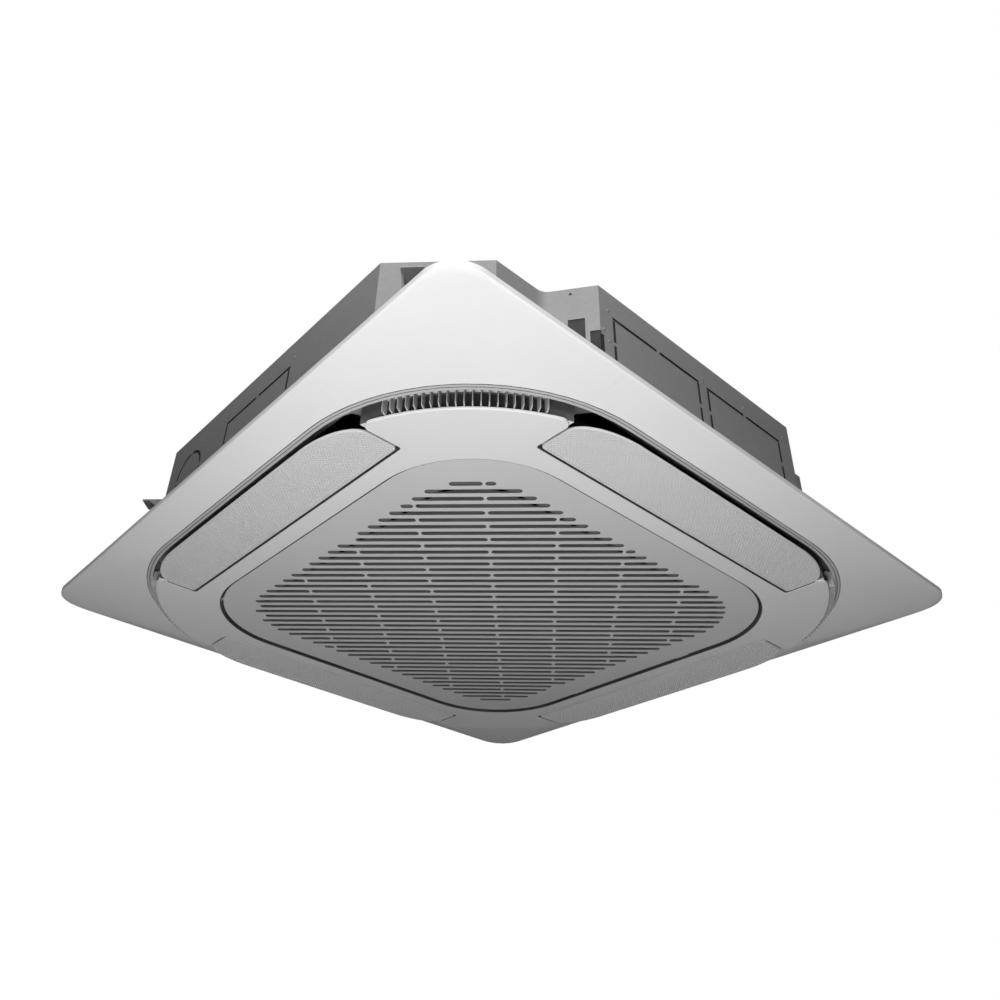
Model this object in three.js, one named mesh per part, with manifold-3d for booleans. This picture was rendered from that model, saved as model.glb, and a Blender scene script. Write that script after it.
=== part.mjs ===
// Ceiling cassette air conditioner: a square decoration panel with four outlet vanes and a slotted
// intake grille, below a sheet-metal body that holds the fan, the coil, the drain pan and the pump.
// Millimetres, +Z up. The origin is on the vertical centre line, in the lowest plane of the panel.

import * as THREE from 'three';
import { mergeVertices } from 'three/addons/utils/BufferGeometryUtils.js';
import Module from 'manifold-3d';

const wasm = await Module();
wasm.setup();

// ---------------------------------------------------------------- driving dimensions

const SEAT = 0.3;            // clearance left between pieces that rest on each other
const RUN = 0.15;            // radial clearance of a pin in its hole
const OVERLAP = 1;           // how far a cutting tool runs past the face that it cuts
const CIRCLE = 10;           // sides of a small round piece
const AXIS_X = new THREE.Vector3(1, 0, 0);
const AXIS_Y = new THREE.Vector3(0, 1, 0);

const PANEL = {
  face: 36,                  // from the inner lip out to the rim, at the middle of a side
  cornerRadius: 42,
  ceiling: 35,               // height of the rim that meets the ceiling
  band: 7,                   // height of the upright side band
  wall: 2.6,
  gap: 7,                    // from the central panel to the lip, at the middle of a side
  cornerGap: 20,             // the same along the corner diagonal, where air leaves
  lipHeight: 17,
  sideBow: 1500,             // radius of the bowed sides of the lip and of the central panel
  throatInset: 5,            // how far the duct wall stands inside the lip
  ledge: 2.5,                // thickness of the top ledge that closes the duct below the body
  ledgeUnder: 8,             // how far the ledge reaches under the body's edge
};

const COVER = {
  seam: 240,                 // distance of each seam from the centre line
  skin: 2.3,
  floor: 1.8,                // pocket floor behind the cover
  edge: 0.965,               // share of the face width where the cover ends, beside the lip
  windowRadius: 26,          // access hole to the hanger bolt
  windowInset: 79,           // from the rim's corner, along the diagonal
};

const CENTRE = {
  bulge: 53,                 // how much further the outer edge reaches along the diagonal
  plate: 3,
  wall: 2.5,
  ledge: 3,                  // from the plate's edge to the outer wall
  border: 25.5,              // from the grille opening to a vane window
  windowWidth: 85.5,         // of a vane window, out to the outer edge at the middle of a side
  windowLength: 484,
  windowRadius: 3,           // inner corners of a window
  tipRadius: 8,              // rounding of the plate where a window meets the outer edge
  openingHalf: 321,          // grille opening at the lowest plane
  openingRadius: 143,
  bevel: 2.5,                // how far the opening narrows through the plate
  wellGap: 4,                // how far the well wall stands outside the opening
};

const GRILLE = {
  recess: 3.4,               // height of the grille face above the lowest plane
  plate: 2.5,
  rimHeight: 7,              // height of the stiffening rim above the plate
  rim: 2,
  fieldInset: 49,            // from the opening's edge to the outline of the slot field
  rows: 44,
  rowPitch: 15.89,
  slot: 8,                   // width of a slot
  slotLength: 171,
  bridge: 3.7,               // material between two slots of a row
  stagger: 13.5,             // offset of the bridges of odd rows from the diagonal
  shortest: 11,              // a slot shorter than this is left out
  endSides: 2,
  hingeInset: 12,            // from the grille's edge to its hinge axis
  hingeHeight: 2.8,          // just below the grille's face, so that the rim of the opening stays clear
  peg: 1.3,                  // radius of the two hinge pegs
  pegRoot: 11,               // each peg's root and tip, inside and outside the opening's edge
  pegTip: 7,
  boss: 1.1,                 // wall of the boss round each peg
};

const CATCH = {
  spread: 110,               // distance of each catch from the centre line
  width: 22,
  length: 18,
  thickness: 4.5,
  nose: 2,                   // how far the nose stands out of the slider
  grip: 9,
  travel: 5.5,               // from released to latched over the keeper
  guide: 1.5,
};

const FILTER = {
  inset: 59,                 // from the edge of the grille opening
  net: 0.8,
  frame: 3.5,
  frameWidth: 7,
  bars: 1,
};

const VANE = {
  gap: 3.5,                  // along the inner edge of the window
  endGap: 3,                 // at each end of the window
  thickness: 3.2,
  edge: 0.9,                 // rounding of the lower edge
  innerRadius: 6,
  outerRadius: 25,
  axisInset: 6,              // from the inner edge
  axisHeight: 6.2,
  lug: 8,                    // length of the bearing lug at each end
  lugRadius: 4.6,
  pinRadius: 2.2,
  pin: 4.5,
  rib: 3,
};

const MOTOR = {              // stepping motor of a vane
  radius: 11,
  length: 16,
  shaftOffset: 8.5,          // from the shaft up to the motor's centre line
  shaftRadius: 2,
  shaft: 5,
  ear: 7,
};

const COMB = {
  ribs: 21,
  pitch: 8.6,
  rib: 2.6,
  depth: 9,
  strip: 1.6,
  taper: 0.6,                // width of a rib's tip over its root
  bottom: 6,
  top: 28,
};

const CASE = {
  half: 420,                 // proud walls
  top: 217,
  sheet: 1.5,
  recess: 366,               // recessed wall beside each corner
  slantRun: 33,              // run and drop of the slanted face beside a proud wall
  slantDrop: 45.5,
  bend: 10,                  // start of the rounded inner corner before the slanted face
  dishRadius: 112,           // pressed dish above the fan motor
  dishDepth: 4,
};

// Where the walls end beside the two kinds of corner.
const CORNERS = {
  near: { wallEnd: 270, proudEnd: 210 },
  side: { wallEnd: 252, proudEnd: 186 },
};

const KNOCKOUT = { slit: 2, bridge: 6, bottom: 98 };
const FRONT_KNOCKOUTS = [
  { from: -185, to: -24, top: 178, split: -103 },
  { from: -4, to: 155, top: 177, split: 77 },
];
const SIDE_KNOCKOUT = { from: -82, to: 78, top: 175.5, split: -3 };
const ROUND_KNOCKOUT = { along: 185, height: 145, radius: 35, arcs: 4 };
const CABLE_WINDOW = { from: 19, to: 39, bottom: 120, top: 166.5 };
const CORNER_NOTCH = { back: 12, front: 6, top: 145, radius: 5 };
const VENT_HOLE = { along: 23, height: 208, radius: 2 };

const LINER = { thickness: 8, roof: 6, motorHole: 118 };

const HANGER = {
  boltX: 393.5,              // half the bolt pitch along X
  boltY: 335.5,              // half the bolt pitch along Y
  width: 64,
  plate: 2.5,
  ear: 160,                  // height of the underside of the ear
  drop: 58,                  // height of the upright plate
  tip: 17,                   // ear beyond the bolt
  slot: 12,
  gusset: 34,
};

const PAN = {
  top: 76,
  hole: 288,                 // half side of the central hole
  holeRadius: 30,
  outletIn: 350,
  outletOut: 404,
  outletLength: 440,
  outletRadius: 14,
  troughIn: 293,
  troughOut: 341,
  troughFloor: 56,
  plugRadius: 11,
};

const COIL = {
  outer: 335,
  thickness: 36,
  radius: 70,
  top: 204,
  end: 170,                  // where both ends stop, beside the pump corner
  sheet: 2,
  tube: 3.6,
  rowPitch: 20,
  rows: 6,
  column: 9,                 // each tube column from the middle of the coil
  header: 8,
};

const BELL = {
  plate: 2.5,
  height: 38,                // underside of the plate
  mouth: 222,
  throat: 178,
  throatTop: 84,
  lip: 5,
  wall: 2.2,
  turns: 20,
};

const FAN = {
  radius: 235,
  inlet: 186,
  shroudBottom: 80,
  shroudTop: 106,
  back: 188,
  skin: 2.4,
  hubBottom: 112,
  hubRadius: 60,
  domeRadius: 120,
  boss: 15,
  bossBottom: 104,
  bossTop: 124,
  blades: 7,
  bladeIn: 148,
  bladeSweep: 34,            // degrees between a blade's inner and outer end
  bladeThickness: 9,
  runningGap: 6,             // between the bell mouth and the blades
  turns: 21,
};

const FAN_MOTOR = {
  radius: 66,
  noseRadius: 46,
  bottom: 127,
  step: 152,
  top: 201,
  shaftRadius: 6,
  earReach: 86,
  earThickness: 3,
  earRadius: 13,
  mountRadius: 11,
  nut: 9,
};

const BOX = {                // control box in the bell mouth plate
  centreY: 257,
  length: 260,
  width: 56,
  top: 66,
  bottom: 25,
  wall: 1.4,
  flange: 2,
  board: 1.6,
  boardDrop: 10,
  cableHeight: 30.5,
  cableRadius: 4,
};

const PIPES = {
  gasX: 306,
  gasRadius: 7.95,
  liquidX: 276,
  liquidRadius: 4.75,
  height: 180,
  end: 412,                  // outer ends of both pipes
  nut: 12,
  plateHalf: 30,
  plate: 1.5,
};

const DRAIN = {
  pump: new THREE.Vector2(300, 300),
  pumpRadius: 30,
  pumpBottom: 92,
  pumpTop: 160,
  inlet: 10,
  exitY: 235,
  height: 140,
  radius: 13,
  end: 456,
  collar: 17,
};

const FLOAT = {
  at: new THREE.Vector2(317, 244),
  rod: 3,
  foot: 9,
  footHeight: 4,
  radius: 11,
  height: 14,
  travel: 18,
  stop: 6,
};

// The panel grows outwards from the grille opening.
const WINDOW_IN = CENTRE.openingHalf + CENTRE.border;
const CENTRE_HALF = WINDOW_IN + CENTRE.windowWidth;
const CENTRE_REACH = CENTRE_HALF + CENTRE.bulge;
const LIP_HALF = CENTRE_HALF + PANEL.gap;
const LIP_REACH = CENTRE_REACH + PANEL.cornerGap;
const PANEL_HALF = LIP_HALF + PANEL.face;
const PANEL_REACH = PANEL_HALF * Math.SQRT2 - PANEL.cornerRadius * (Math.SQRT2 - 1);
const VANE_INNER = WINDOW_IN + VANE.gap;
const VANE_AXIS = VANE_INNER + VANE.axisInset;
const VANE_LENGTH = CENTRE.windowLength - 2 * VANE.endGap;
const FILTER_HALF = CENTRE.openingHalf - FILTER.inset;
const FILTER_RADIUS = CENTRE.openingRadius - FILTER.inset;

// ---------------------------------------------------------------- materials

const MATERIALS = {
  panel: new THREE.MeshStandardMaterial({ color: 0xe9e9e8, roughness: 0.42, metalness: 0 }),
  vane: new THREE.MeshStandardMaterial({ color: 0xcdcdcc, roughness: 0.6, metalness: 0 }),
  grille: new THREE.MeshStandardMaterial({ color: 0xdcdcdb, roughness: 0.5, metalness: 0 }),
  net: new THREE.MeshStandardMaterial({ color: 0x55585a, roughness: 0.8, metalness: 0 }),
  comb: new THREE.MeshStandardMaterial({ color: 0xa9abac, roughness: 0.55, metalness: 0 }),
  sheet: new THREE.MeshStandardMaterial({ color: 0x7c7d7e, roughness: 0.45, metalness: 0.75 }),
  foam: new THREE.MeshStandardMaterial({ color: 0xe4e4e0, roughness: 0.9, metalness: 0 }),
  plastic: new THREE.MeshStandardMaterial({ color: 0x303234, roughness: 0.5, metalness: 0 }),
  fan: new THREE.MeshStandardMaterial({ color: 0xb9bcbd, roughness: 0.55, metalness: 0 }),
  aluminium: new THREE.MeshStandardMaterial({ color: 0xc4c7c9, roughness: 0.4, metalness: 0.9 }),
  copper: new THREE.MeshStandardMaterial({ color: 0xb87350, roughness: 0.3, metalness: 1 }),
  brass: new THREE.MeshStandardMaterial({ color: 0xb99b56, roughness: 0.3, metalness: 1 }),
  rubber: new THREE.MeshStandardMaterial({ color: 0x1c1c1d, roughness: 0.85, metalness: 0 }),
  board: new THREE.MeshStandardMaterial({ color: 0x2f5b43, roughness: 0.5, metalness: 0 }),
};

// ---------------------------------------------------------------- outlines

/** Points of an arc, from one angle to another, both ends included. */
function arc(cx, cy, radius, from, to, sides) {
  const points = [];
  for (let i = 0; i <= sides; i += 1) {
    const angle = from + ((to - from) * i) / sides;
    points.push(new THREE.Vector2(cx + radius * Math.cos(angle), cy + radius * Math.sin(angle)));
  }
  return points;
}

/** The first quarter's points, copied round the other three quarters. */
function fourFold(quarter) {
  const loop = [];
  for (let turn = 0; turn < 4; turn += 1) {
    for (const point of quarter) {
      loop.push(point.clone().rotateAround(new THREE.Vector2(), (turn * Math.PI) / 2));
    }
  }
  return loop;
}

/** A square with round corners and straight sides. */
function roundedSquare(half, radius, sides = 8) {
  const centre = half - radius;
  return fourFold(arc(centre, centre, radius, 0, Math.PI / 2, sides));
}

/**
 * A square whose sides are arcs of a large radius and whose corners are arcs tangent to them.
 * half is its reach across a side, reach its reach along the diagonal, bow the sides' radius.
 */
function bowedSquare(half, reach, bow, sideSteps = 2, cornerSteps = 5) {
  const { centre, radius, tangent } = bowedCorner(half, reach, bow);
  const first = arc(half - bow, 0, bow, 0, tangent, sideSteps).slice(0, -1);
  const middle = arc(centre, centre, radius, tangent, Math.PI / 2 - tangent, cornerSteps);
  const last = arc(0, half - bow, bow, Math.PI / 2 - tangent, Math.PI / 2, sideSteps).slice(1, -1);
  return fourFold([...first, ...middle, ...last]);
}

/** Corner arc of such a square: its centre on the diagonal, its radius, and where it meets a side. */
function bowedCorner(half, reach, bow) {
  const top = (bow - reach) ** 2 - (bow - half) ** 2;
  const centre = top / (2 * (bow - half - Math.SQRT2 * (bow - reach)));
  const radius = reach - centre * Math.SQRT2;
  const tangent = Math.atan2(centre, centre - half + bow);
  return { centre, radius, tangent };
}

/** A polygon whose every side is moved inwards by the same distance. */
function inset(loop, distance) {
  return loop.map((point, i) => {
    const before = point.clone().sub(loop.at(i - 1)).normalize();
    const after = loop[(i + 1) % loop.length].clone().sub(point).normalize();
    const normalBefore = new THREE.Vector2(-before.y, before.x);
    const normalAfter = new THREE.Vector2(-after.y, after.x);
    const bisector = normalBefore.add(normalAfter).normalize();
    return point.clone().addScaledVector(bisector, distance / bisector.dot(normalAfter));
  });
}

/** A rectangle round a centre, with rounded corners. */
function roundedRectangle(x0, y0, x1, y1, radius, sides = 3) {
  const corners = [
    [x1 - radius, y1 - radius, 0],
    [x0 + radius, y1 - radius, Math.PI / 2],
    [x0 + radius, y0 + radius, Math.PI],
    [x1 - radius, y0 + radius, Math.PI * 1.5],
  ];
  return corners.flatMap(([x, y, angle]) => arc(x, y, radius, angle, angle + Math.PI / 2, sides));
}

/** A point on each of the four corner diagonals, at the given reach. */
function onDiagonal(reach, turn) {
  const angle = Math.PI / 4 + (turn * Math.PI) / 2;
  return new THREE.Vector2(reach * Math.cos(angle), reach * Math.sin(angle));
}

// ---------------------------------------------------------------- solids

/** A solid ready for cutting and joining, from a closed geometry. */
function toSolid(geometry) {
  const bare = geometry.clone();
  bare.deleteAttribute('normal');
  bare.deleteAttribute('uv');
  const merged = mergeVertices(bare, 1e-4);
  const vertProperties = new Float32Array(merged.attributes.position.array);
  const triVerts = new Uint32Array(merged.index.array);
  return new wasm.Manifold(new wasm.Mesh({ numProp: 3, vertProperties, triVerts }));
}

/** The three.js geometry of a solid. */
function toGeometry(solid) {
  const { vertProperties, triVerts } = solid.getMesh();
  const geometry = new THREE.BufferGeometry();
  geometry.setAttribute('position', new THREE.BufferAttribute(vertProperties, 3));
  geometry.setIndex(new THREE.BufferAttribute(triVerts, 1));
  return geometry;
}

/**
 * A solid from loops of equal length: a ring where closed, otherwise capped at both ends.
 * Each four-sided facet is split along its shorter diagonal, so that layers of one form lie parallel.
 */
function loft(loops, closed) {
  const count = loops[0].length;
  const all = loops.flat();
  const positions = all.flatMap((point) => [point.x, point.y, point.z]);
  const triangles = [];
  const bands = closed ? loops.length : loops.length - 1;
  for (let band = 0; band < bands; band += 1) {
    const low = band * count;
    const high = ((band + 1) % loops.length) * count;
    for (let i = 0; i < count; i += 1) {
      const next = (i + 1) % count;
      const [a, b, c, d] = [low + i, low + next, high + next, high + i];
      const across = all[a].distanceTo(all[c]) <= all[b].distanceTo(all[d]);
      triangles.push(...(across ? [[a, b, c], [a, c, d]] : [[a, b, d], [b, c, d]]));
    }
  }
  if (!closed) {
    const last = (loops.length - 1) * count;
    const flat = loops[0].map((point) => new THREE.Vector2(point.x, point.y));
    const flatTop = loops.at(-1).map((point) => new THREE.Vector2(point.x, point.y));
    for (const [a, b, c] of THREE.ShapeUtils.triangulateShape(flat, [])) {
      triangles.push([a, c, b]);
    }
    for (const [a, b, c] of THREE.ShapeUtils.triangulateShape(flatTop, [])) {
      triangles.push([last + a, last + b, last + c]);
    }
  }
  return fromTriangles(positions, triangles);
}

/** A solid from its triangles, turned so that its faces point outwards. */
function fromTriangles(positions, triangles) {
  const corner = (index) => new THREE.Vector3().fromArray(positions, index * 3);
  let volume = 0;
  for (const [a, b, c] of triangles) {
    volume += corner(a).dot(corner(b).cross(corner(c)));
  }
  const outward = volume < 0 ? triangles.map(([a, b, c]) => [a, c, b]) : triangles;
  const geometry = new THREE.BufferGeometry();
  geometry.setAttribute('position', new THREE.Float32BufferAttribute(positions, 3));
  geometry.setIndex(outward.flat());
  return toSolid(geometry);
}

/** A flat outline raised to a height, as a loop for a loft. */
function atHeight(loop, z) {
  return loop.map((point) => new THREE.Vector3(point.x, point.y, z));
}

/** An upright prism on an outline. */
function prism(loop, bottom, top, holes = []) {
  const shape = new THREE.Shape(loop);
  shape.holes = holes.map((hole) => new THREE.Path(hole));
  const geometry = new THREE.ExtrudeGeometry(shape, { depth: top - bottom, bevelEnabled: false });
  return toSolid(geometry.translate(0, 0, bottom));
}

/** A box between two corners. */
function box(x0, y0, z0, x1, y1, z1) {
  const geometry = new THREE.BoxGeometry(x1 - x0, y1 - y0, z1 - z0);
  return toSolid(geometry.translate((x0 + x1) / 2, (y0 + y1) / 2, (z0 + z1) / 2));
}

/** A box between two values of X, of Y, in either order, and of Z. */
function slab(x0, x1, ya, yb, z0, z1) {
  return box(x0, Math.min(ya, yb), z0, x1, Math.max(ya, yb), z1);
}

/** A cylinder between two points. */
function rod(from, to, radius, sides = CIRCLE) {
  const geometry = new THREE.CylinderGeometry(radius, radius, from.distanceTo(to), sides);
  const direction = to.clone().sub(from).normalize();
  geometry.applyQuaternion(new THREE.Quaternion().setFromUnitVectors(AXIS_Y, direction));
  const middle = from.clone().add(to).multiplyScalar(0.5);
  return toSolid(geometry.translate(middle.x, middle.y, middle.z));
}

/** An upright cylinder. */
function post(x, y, bottom, top, radius, sides = CIRCLE) {
  return rod(new THREE.Vector3(x, y, bottom), new THREE.Vector3(x, y, top), radius, sides);
}

/** A body of revolution about the vertical axis, from a closed list of [radius, height]. */
function turned(profile, sides) {
  const points = profile.map(([radius, height]) => new THREE.Vector2(radius, height));
  const onAxis = profile[0][0] === 0 && profile.at(-1)[0] === 0;
  if (!onAxis) {
    points.push(points[0].clone());
  }
  const geometry = new THREE.LatheGeometry(points, sides);
  geometry.rotateX(Math.PI / 2);
  const flat = geometry.toNonIndexed();
  flat.deleteAttribute('normal');
  flat.deleteAttribute('uv');
  const merged = mergeVertices(flat, 1e-4);
  const triangles = [];
  const index = merged.index.array;
  for (let i = 0; i < index.length; i += 3) {
    const triangle = [index[i], index[i + 1], index[i + 2]];
    if (new Set(triangle).size === 3) {
      triangles.push(triangle);
    }
  }
  return fromTriangles(Array.from(merged.attributes.position.array), triangles);
}

/** A round bar along a path through the given points. */
function bar(points, radius, steps, sides = 8) {
  const path = new THREE.CatmullRomCurve3(points, false, 'catmullrom', 0.5);
  const shape = new THREE.Shape(arc(0, 0, radius, 0, Math.PI * 2, sides).slice(0, -1));
  return toSolid(new THREE.ExtrudeGeometry(shape, { steps, extrudePath: path, bevelEnabled: false }));
}

function moved(solid, matrix) {
  return solid.transform(matrix.elements);
}

/** The solid turned about the vertical axis. */
function spun(solid, angle) {
  return moved(solid, new THREE.Matrix4().makeRotationZ(angle));
}

function quarterTurn(solid, turn) {
  return spun(solid, (turn * Math.PI) / 2);
}

function joined(solids) {
  return solids.reduce((whole, solid) => whole.add(solid));
}

function without(solid, tools) {
  return tools.reduce((whole, tool) => whole.subtract(tool), solid);
}

// ---------------------------------------------------------------- decoration panel

/** The panel face's slope: share of the way from the rim to the lip, and height. */
const FACE = [
  [0, PANEL.ceiling - PANEL.band],
  [0.06, PANEL.ceiling - PANEL.band - 1.8],
  [0.5, (PANEL.ceiling - PANEL.band + PANEL.lipHeight) / 2 - 1.2],
  [1, PANEL.lipHeight],
];

/** A loop on the panel face: share of the way to the lip, how deep behind the face, how far in. */
function faceLoop(share, height, depth = 0, sideways = 0) {
  const half = THREE.MathUtils.lerp(PANEL_HALF, LIP_HALF, share) - sideways;
  const reach = THREE.MathUtils.lerp(PANEL_REACH, LIP_REACH, share) - sideways;
  const bow = PANEL.sideBow / Math.max(share, 1e-3);
  return atHeight(bowedSquare(half, reach, bow), height + depth);
}

/** Height of the face at a share of the way to the lip. */
function faceHeight(share) {
  const after = FACE.findIndex(([at]) => at >= share);
  const [s0, z0] = FACE[Math.max(after - 1, 0)];
  const [s1, z1] = FACE[after];
  return s1 === s0 ? z1 : THREE.MathUtils.mapLinear(share, s0, s1, z0, z1);
}

/** A layer of the rim and face: its loops from the ceiling down and in, at one depth. */
function faceLayer(depth, lastShare, stations = FACE) {
  const last = [lastShare, faceHeight(lastShare)];
  const face = [...stations.filter(([share]) => share < lastShare), last].map(([share, height]) => {
    return faceLoop(share, height, depth, share === 0 ? depth : 0);
  });
  return [faceLoop(0, PANEL.ceiling, 0, depth), ...face];
}

/** The back of such a layer, straight from the rim to its inner end. */
function layerBack(depth, lastShare) {
  return faceLayer(depth, lastShare, [FACE[0]]).reverse();
}

/** The lip and the duct wall, from the lip up and round to the wall's back. */
function throatLoops() {
  const inward = (step, z) => faceLoop(1, z, 0, step);
  return [
    faceLoop(1, PANEL.lipHeight),
    inward(PANEL.throatInset * 0.4, PANEL.lipHeight + 1.6),
    inward(PANEL.throatInset, PANEL.ceiling),
    inward(PANEL.throatInset - PANEL.wall, PANEL.ceiling),
    inward(PANEL.throatInset * 0.4 - PANEL.wall, PANEL.lipHeight + 4.4),
  ];
}

/** The ledge from the top of the duct wall in under the edge of the body. */
function topLedge() {
  const outline = faceLoop(1, 0, 0, PANEL.throatInset - PANEL.wall / 2);
  const flat = outline.map((point) => new THREE.Vector2(point.x, point.y));
  const below = PANEL.ceiling - PANEL.ledge;
  const hole = prism(inset(CASE_PLAN, PANEL.ledgeUnder), below - OVERLAP, PANEL.ceiling + OVERLAP);
  return prism(flat, below, PANEL.ceiling).subtract(hole);
}

/** The region of a corner cover, grown by a clearance. */
function cornerRegion(turn, grow) {
  const from = COVER.seam - grow;
  const to = PANEL_HALF + OVERLAP;
  return quarterTurn(box(from, from, 0, to, to, PANEL.ceiling + OVERLAP), turn);
}

const CORNER_TURNS = [0, 1, 2, 3];

function panelFrame() {
  const behind = COVER.skin + SEAT;
  const outer = loft([...faceLayer(0, COVER.edge), ...throatLoops(), ...layerBack(PANEL.wall, COVER.edge)], true);
  const lipEdge = [COVER.edge + 0.006, faceHeight(COVER.edge + 0.006)];
  const pocket = loft([
    ...faceLayer(behind, lipEdge[0], [FACE[0]]),
    faceLoop(...lipEdge),
    ...throatLoops(),
    ...layerBack(behind + COVER.floor, COVER.edge),
  ], true);
  const side = without(outer, CORNER_TURNS.map((turn) => cornerRegion(turn, SEAT / 2)));
  const corners = CORNER_TURNS.map((turn) => {
    const at = onDiagonal(PANEL_REACH - COVER.windowInset, turn);
    const window = post(at.x, at.y, 0, PANEL.ceiling + OVERLAP, COVER.windowRadius, 10);
    return pocket.intersect(cornerRegion(turn, PANEL.wall)).subtract(window);
  });
  return joined([side, ...corners, topLedge()]);
}

function cornerCover(turn) {
  const skin = loft([...faceLayer(0, COVER.edge), ...layerBack(COVER.skin, COVER.edge)], true);
  return skin.intersect(cornerRegion(turn, -SEAT / 2));
}

/** The line of the central panel's outer wall, a little inside its edge. */
function centreWall() {
  return bowedSquare(CENTRE_HALF - CENTRE.ledge, CENTRE_REACH - CENTRE.ledge, PANEL.sideBow);
}

/** What is cut off the plate to round the tip beside a vane window, at its end in +Y. */
function tipWaste(turn) {
  const { centre, radius } = bowedCorner(CENTRE_HALF, CENTRE_REACH, PANEL.sideBow);
  const round = CENTRE.tipRadius;
  const edge = CENTRE.windowLength / 2;
  const y = edge + round;
  const x = centre + Math.sqrt((radius - round) ** 2 - (y - centre) ** 2);
  const end = Math.atan2(y - centre, x - centre);
  const beyond = new THREE.Vector2(x + round * 3 * Math.cos(end), y + round * 3 * Math.sin(end));
  const loop = [
    new THREE.Vector2(x, edge - OVERLAP),
    new THREE.Vector2(x + round * 3, edge - OVERLAP),
    beyond,
    ...arc(x, y, round, end, -Math.PI / 2, 4),
  ];
  return quarterTurn(prism(loop, -OVERLAP, CENTRE.plate), turn);
}

/** The central panel: plate, vane windows with duct walls, corner walls and the grille well. */
function panelBase() {
  const top = PANEL.ceiling - PANEL.ledge - SEAT;
  const outline = bowedSquare(CENTRE_HALF, CENTRE_REACH, PANEL.sideBow);
  const wallLine = centreWall();
  const opening = roundedSquare(CENTRE.openingHalf, CENTRE.openingRadius, 7);
  const narrow = roundedSquare(CENTRE.openingHalf - CENTRE.bevel, CENTRE.openingRadius - CENTRE.bevel, 7);
  const inside = prism(wallLine, 0, PANEL.ceiling);
  const wellHalf = CENTRE.openingHalf + CENTRE.wellGap;
  const well = roundedSquare(wellHalf, CENTRE.openingRadius + CENTRE.wellGap, 5);
  const wellBack = roundedSquare(wellHalf + CENTRE.wall, CENTRE.openingRadius + CENTRE.wellGap + CENTRE.wall, 5);
  const plate = prism(outline, 0, CENTRE.plate);
  const cornerWall = prism(wallLine, CENTRE.plate - OVERLAP, top, [inset(wallLine, CENTRE.wall).reverse()]);
  const wellWall = prism(wellBack, CENTRE.plate - OVERLAP, top, [well.slice().reverse()]);
  const windowHalf = CENTRE.windowLength / 2;
  const wallHalf = windowHalf + CENTRE.wall;
  const backIn = WINDOW_IN - CENTRE.wall;
  const ducts = CORNER_TURNS.map((turn) => {
    const block = box(backIn, -wallHalf, CENTRE.plate - OVERLAP, CENTRE_HALF - 12, wallHalf, top);
    return quarterTurn(block, turn).intersect(inside);
  });
  const windows = CORNER_TURNS.map((turn) => {
    const far = CENTRE_HALF + 20;
    const hole = roundedRectangle(WINDOW_IN, -windowHalf, far, windowHalf, CENTRE.windowRadius);
    return quarterTurn(prism(hole, -OVERLAP, top + OVERLAP), turn);
  });
  const bores = CORNER_TURNS.map((turn) => {
    const reach = wallHalf + OVERLAP;
    const from = new THREE.Vector3(VANE_AXIS, -reach, VANE.axisHeight);
    const to = new THREE.Vector3(VANE_AXIS, reach, VANE.axisHeight);
    return quarterTurn(rod(from, to, VANE.pinRadius + RUN), turn);
  });
  const bevel = loft([
    atHeight(inset(opening, -CENTRE.bevel * OVERLAP / CENTRE.plate), -OVERLAP),
    atHeight(narrow, CENTRE.plate),
    atHeight(narrow, CENTRE.plate + OVERLAP * 0.1),
  ], false);
  const shell = joined([plate, cornerWall, wellWall, ...ducts, ...hingeBosses(), ...catchKeepers()]);
  const tips = CORNER_TURNS.map(tipWaste);
  const otherTips = tips.map((tip) => tip.mirror([1, 0, 0]));
  return without(shell, [...windows, ...tips, ...otherTips, ...bores, bevel, ...hingeBores()]);
}

const GRILLE_HALF = CENTRE.openingHalf - CENTRE.bevel - SEAT;
const GRILLE_RADIUS = CENTRE.openingRadius - CENTRE.bevel - SEAT;
const HINGE_X = -(GRILLE_HALF - GRILLE.hingeInset);

/** Half the width of the grille opening, measured on the hinge axis. */
function hingeOpening() {
  const centre = CENTRE.openingHalf - CENTRE.openingRadius;
  return centre + Math.sqrt(CENTRE.openingRadius ** 2 - (HINGE_X + centre) ** 2);
}

/** A rod on the hinge axis at each end of the opening. */
function hingeRods(radius, tip) {
  const opening = hingeOpening();
  return [-1, 1].map((side) => rod(
    new THREE.Vector3(HINGE_X, side * (opening - GRILLE.pegRoot), GRILLE.hingeHeight),
    new THREE.Vector3(HINGE_X, side * (opening + tip), GRILLE.hingeHeight), radius));
}

function hingeBores() {
  return hingeRods(GRILLE.peg + RUN, GRILLE.pegTip + SEAT * 2);
}

/** The bosses on the central panel that carry the grille's two pegs. */
function hingeBosses() {
  const reach = GRILLE.peg + RUN + GRILLE.boss;
  const from = hingeOpening() + GRILLE.boss;
  const to = hingeOpening() + GRILLE.pegTip + GRILLE.boss * 2;
  return [-1, 1].map((side) => slab(HINGE_X - reach, HINGE_X + reach, side * from, side * to,
    CENTRE.plate / 2, GRILLE.hingeHeight + reach));
}

/** The steps in the well, on the free side, that the latched catches rest on. */
function catchKeepers() {
  const half = CATCH.width / 2;
  return [-1, 1].map((side) => box(GRILLE_HALF + SEAT * 2, side * CATCH.spread - half, CENTRE.plate - OVERLAP,
    CENTRE.openingHalf + CENTRE.wellGap + OVERLAP, side * CATCH.spread + half, GRILLE.recess + GRILLE.plate));
}

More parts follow.
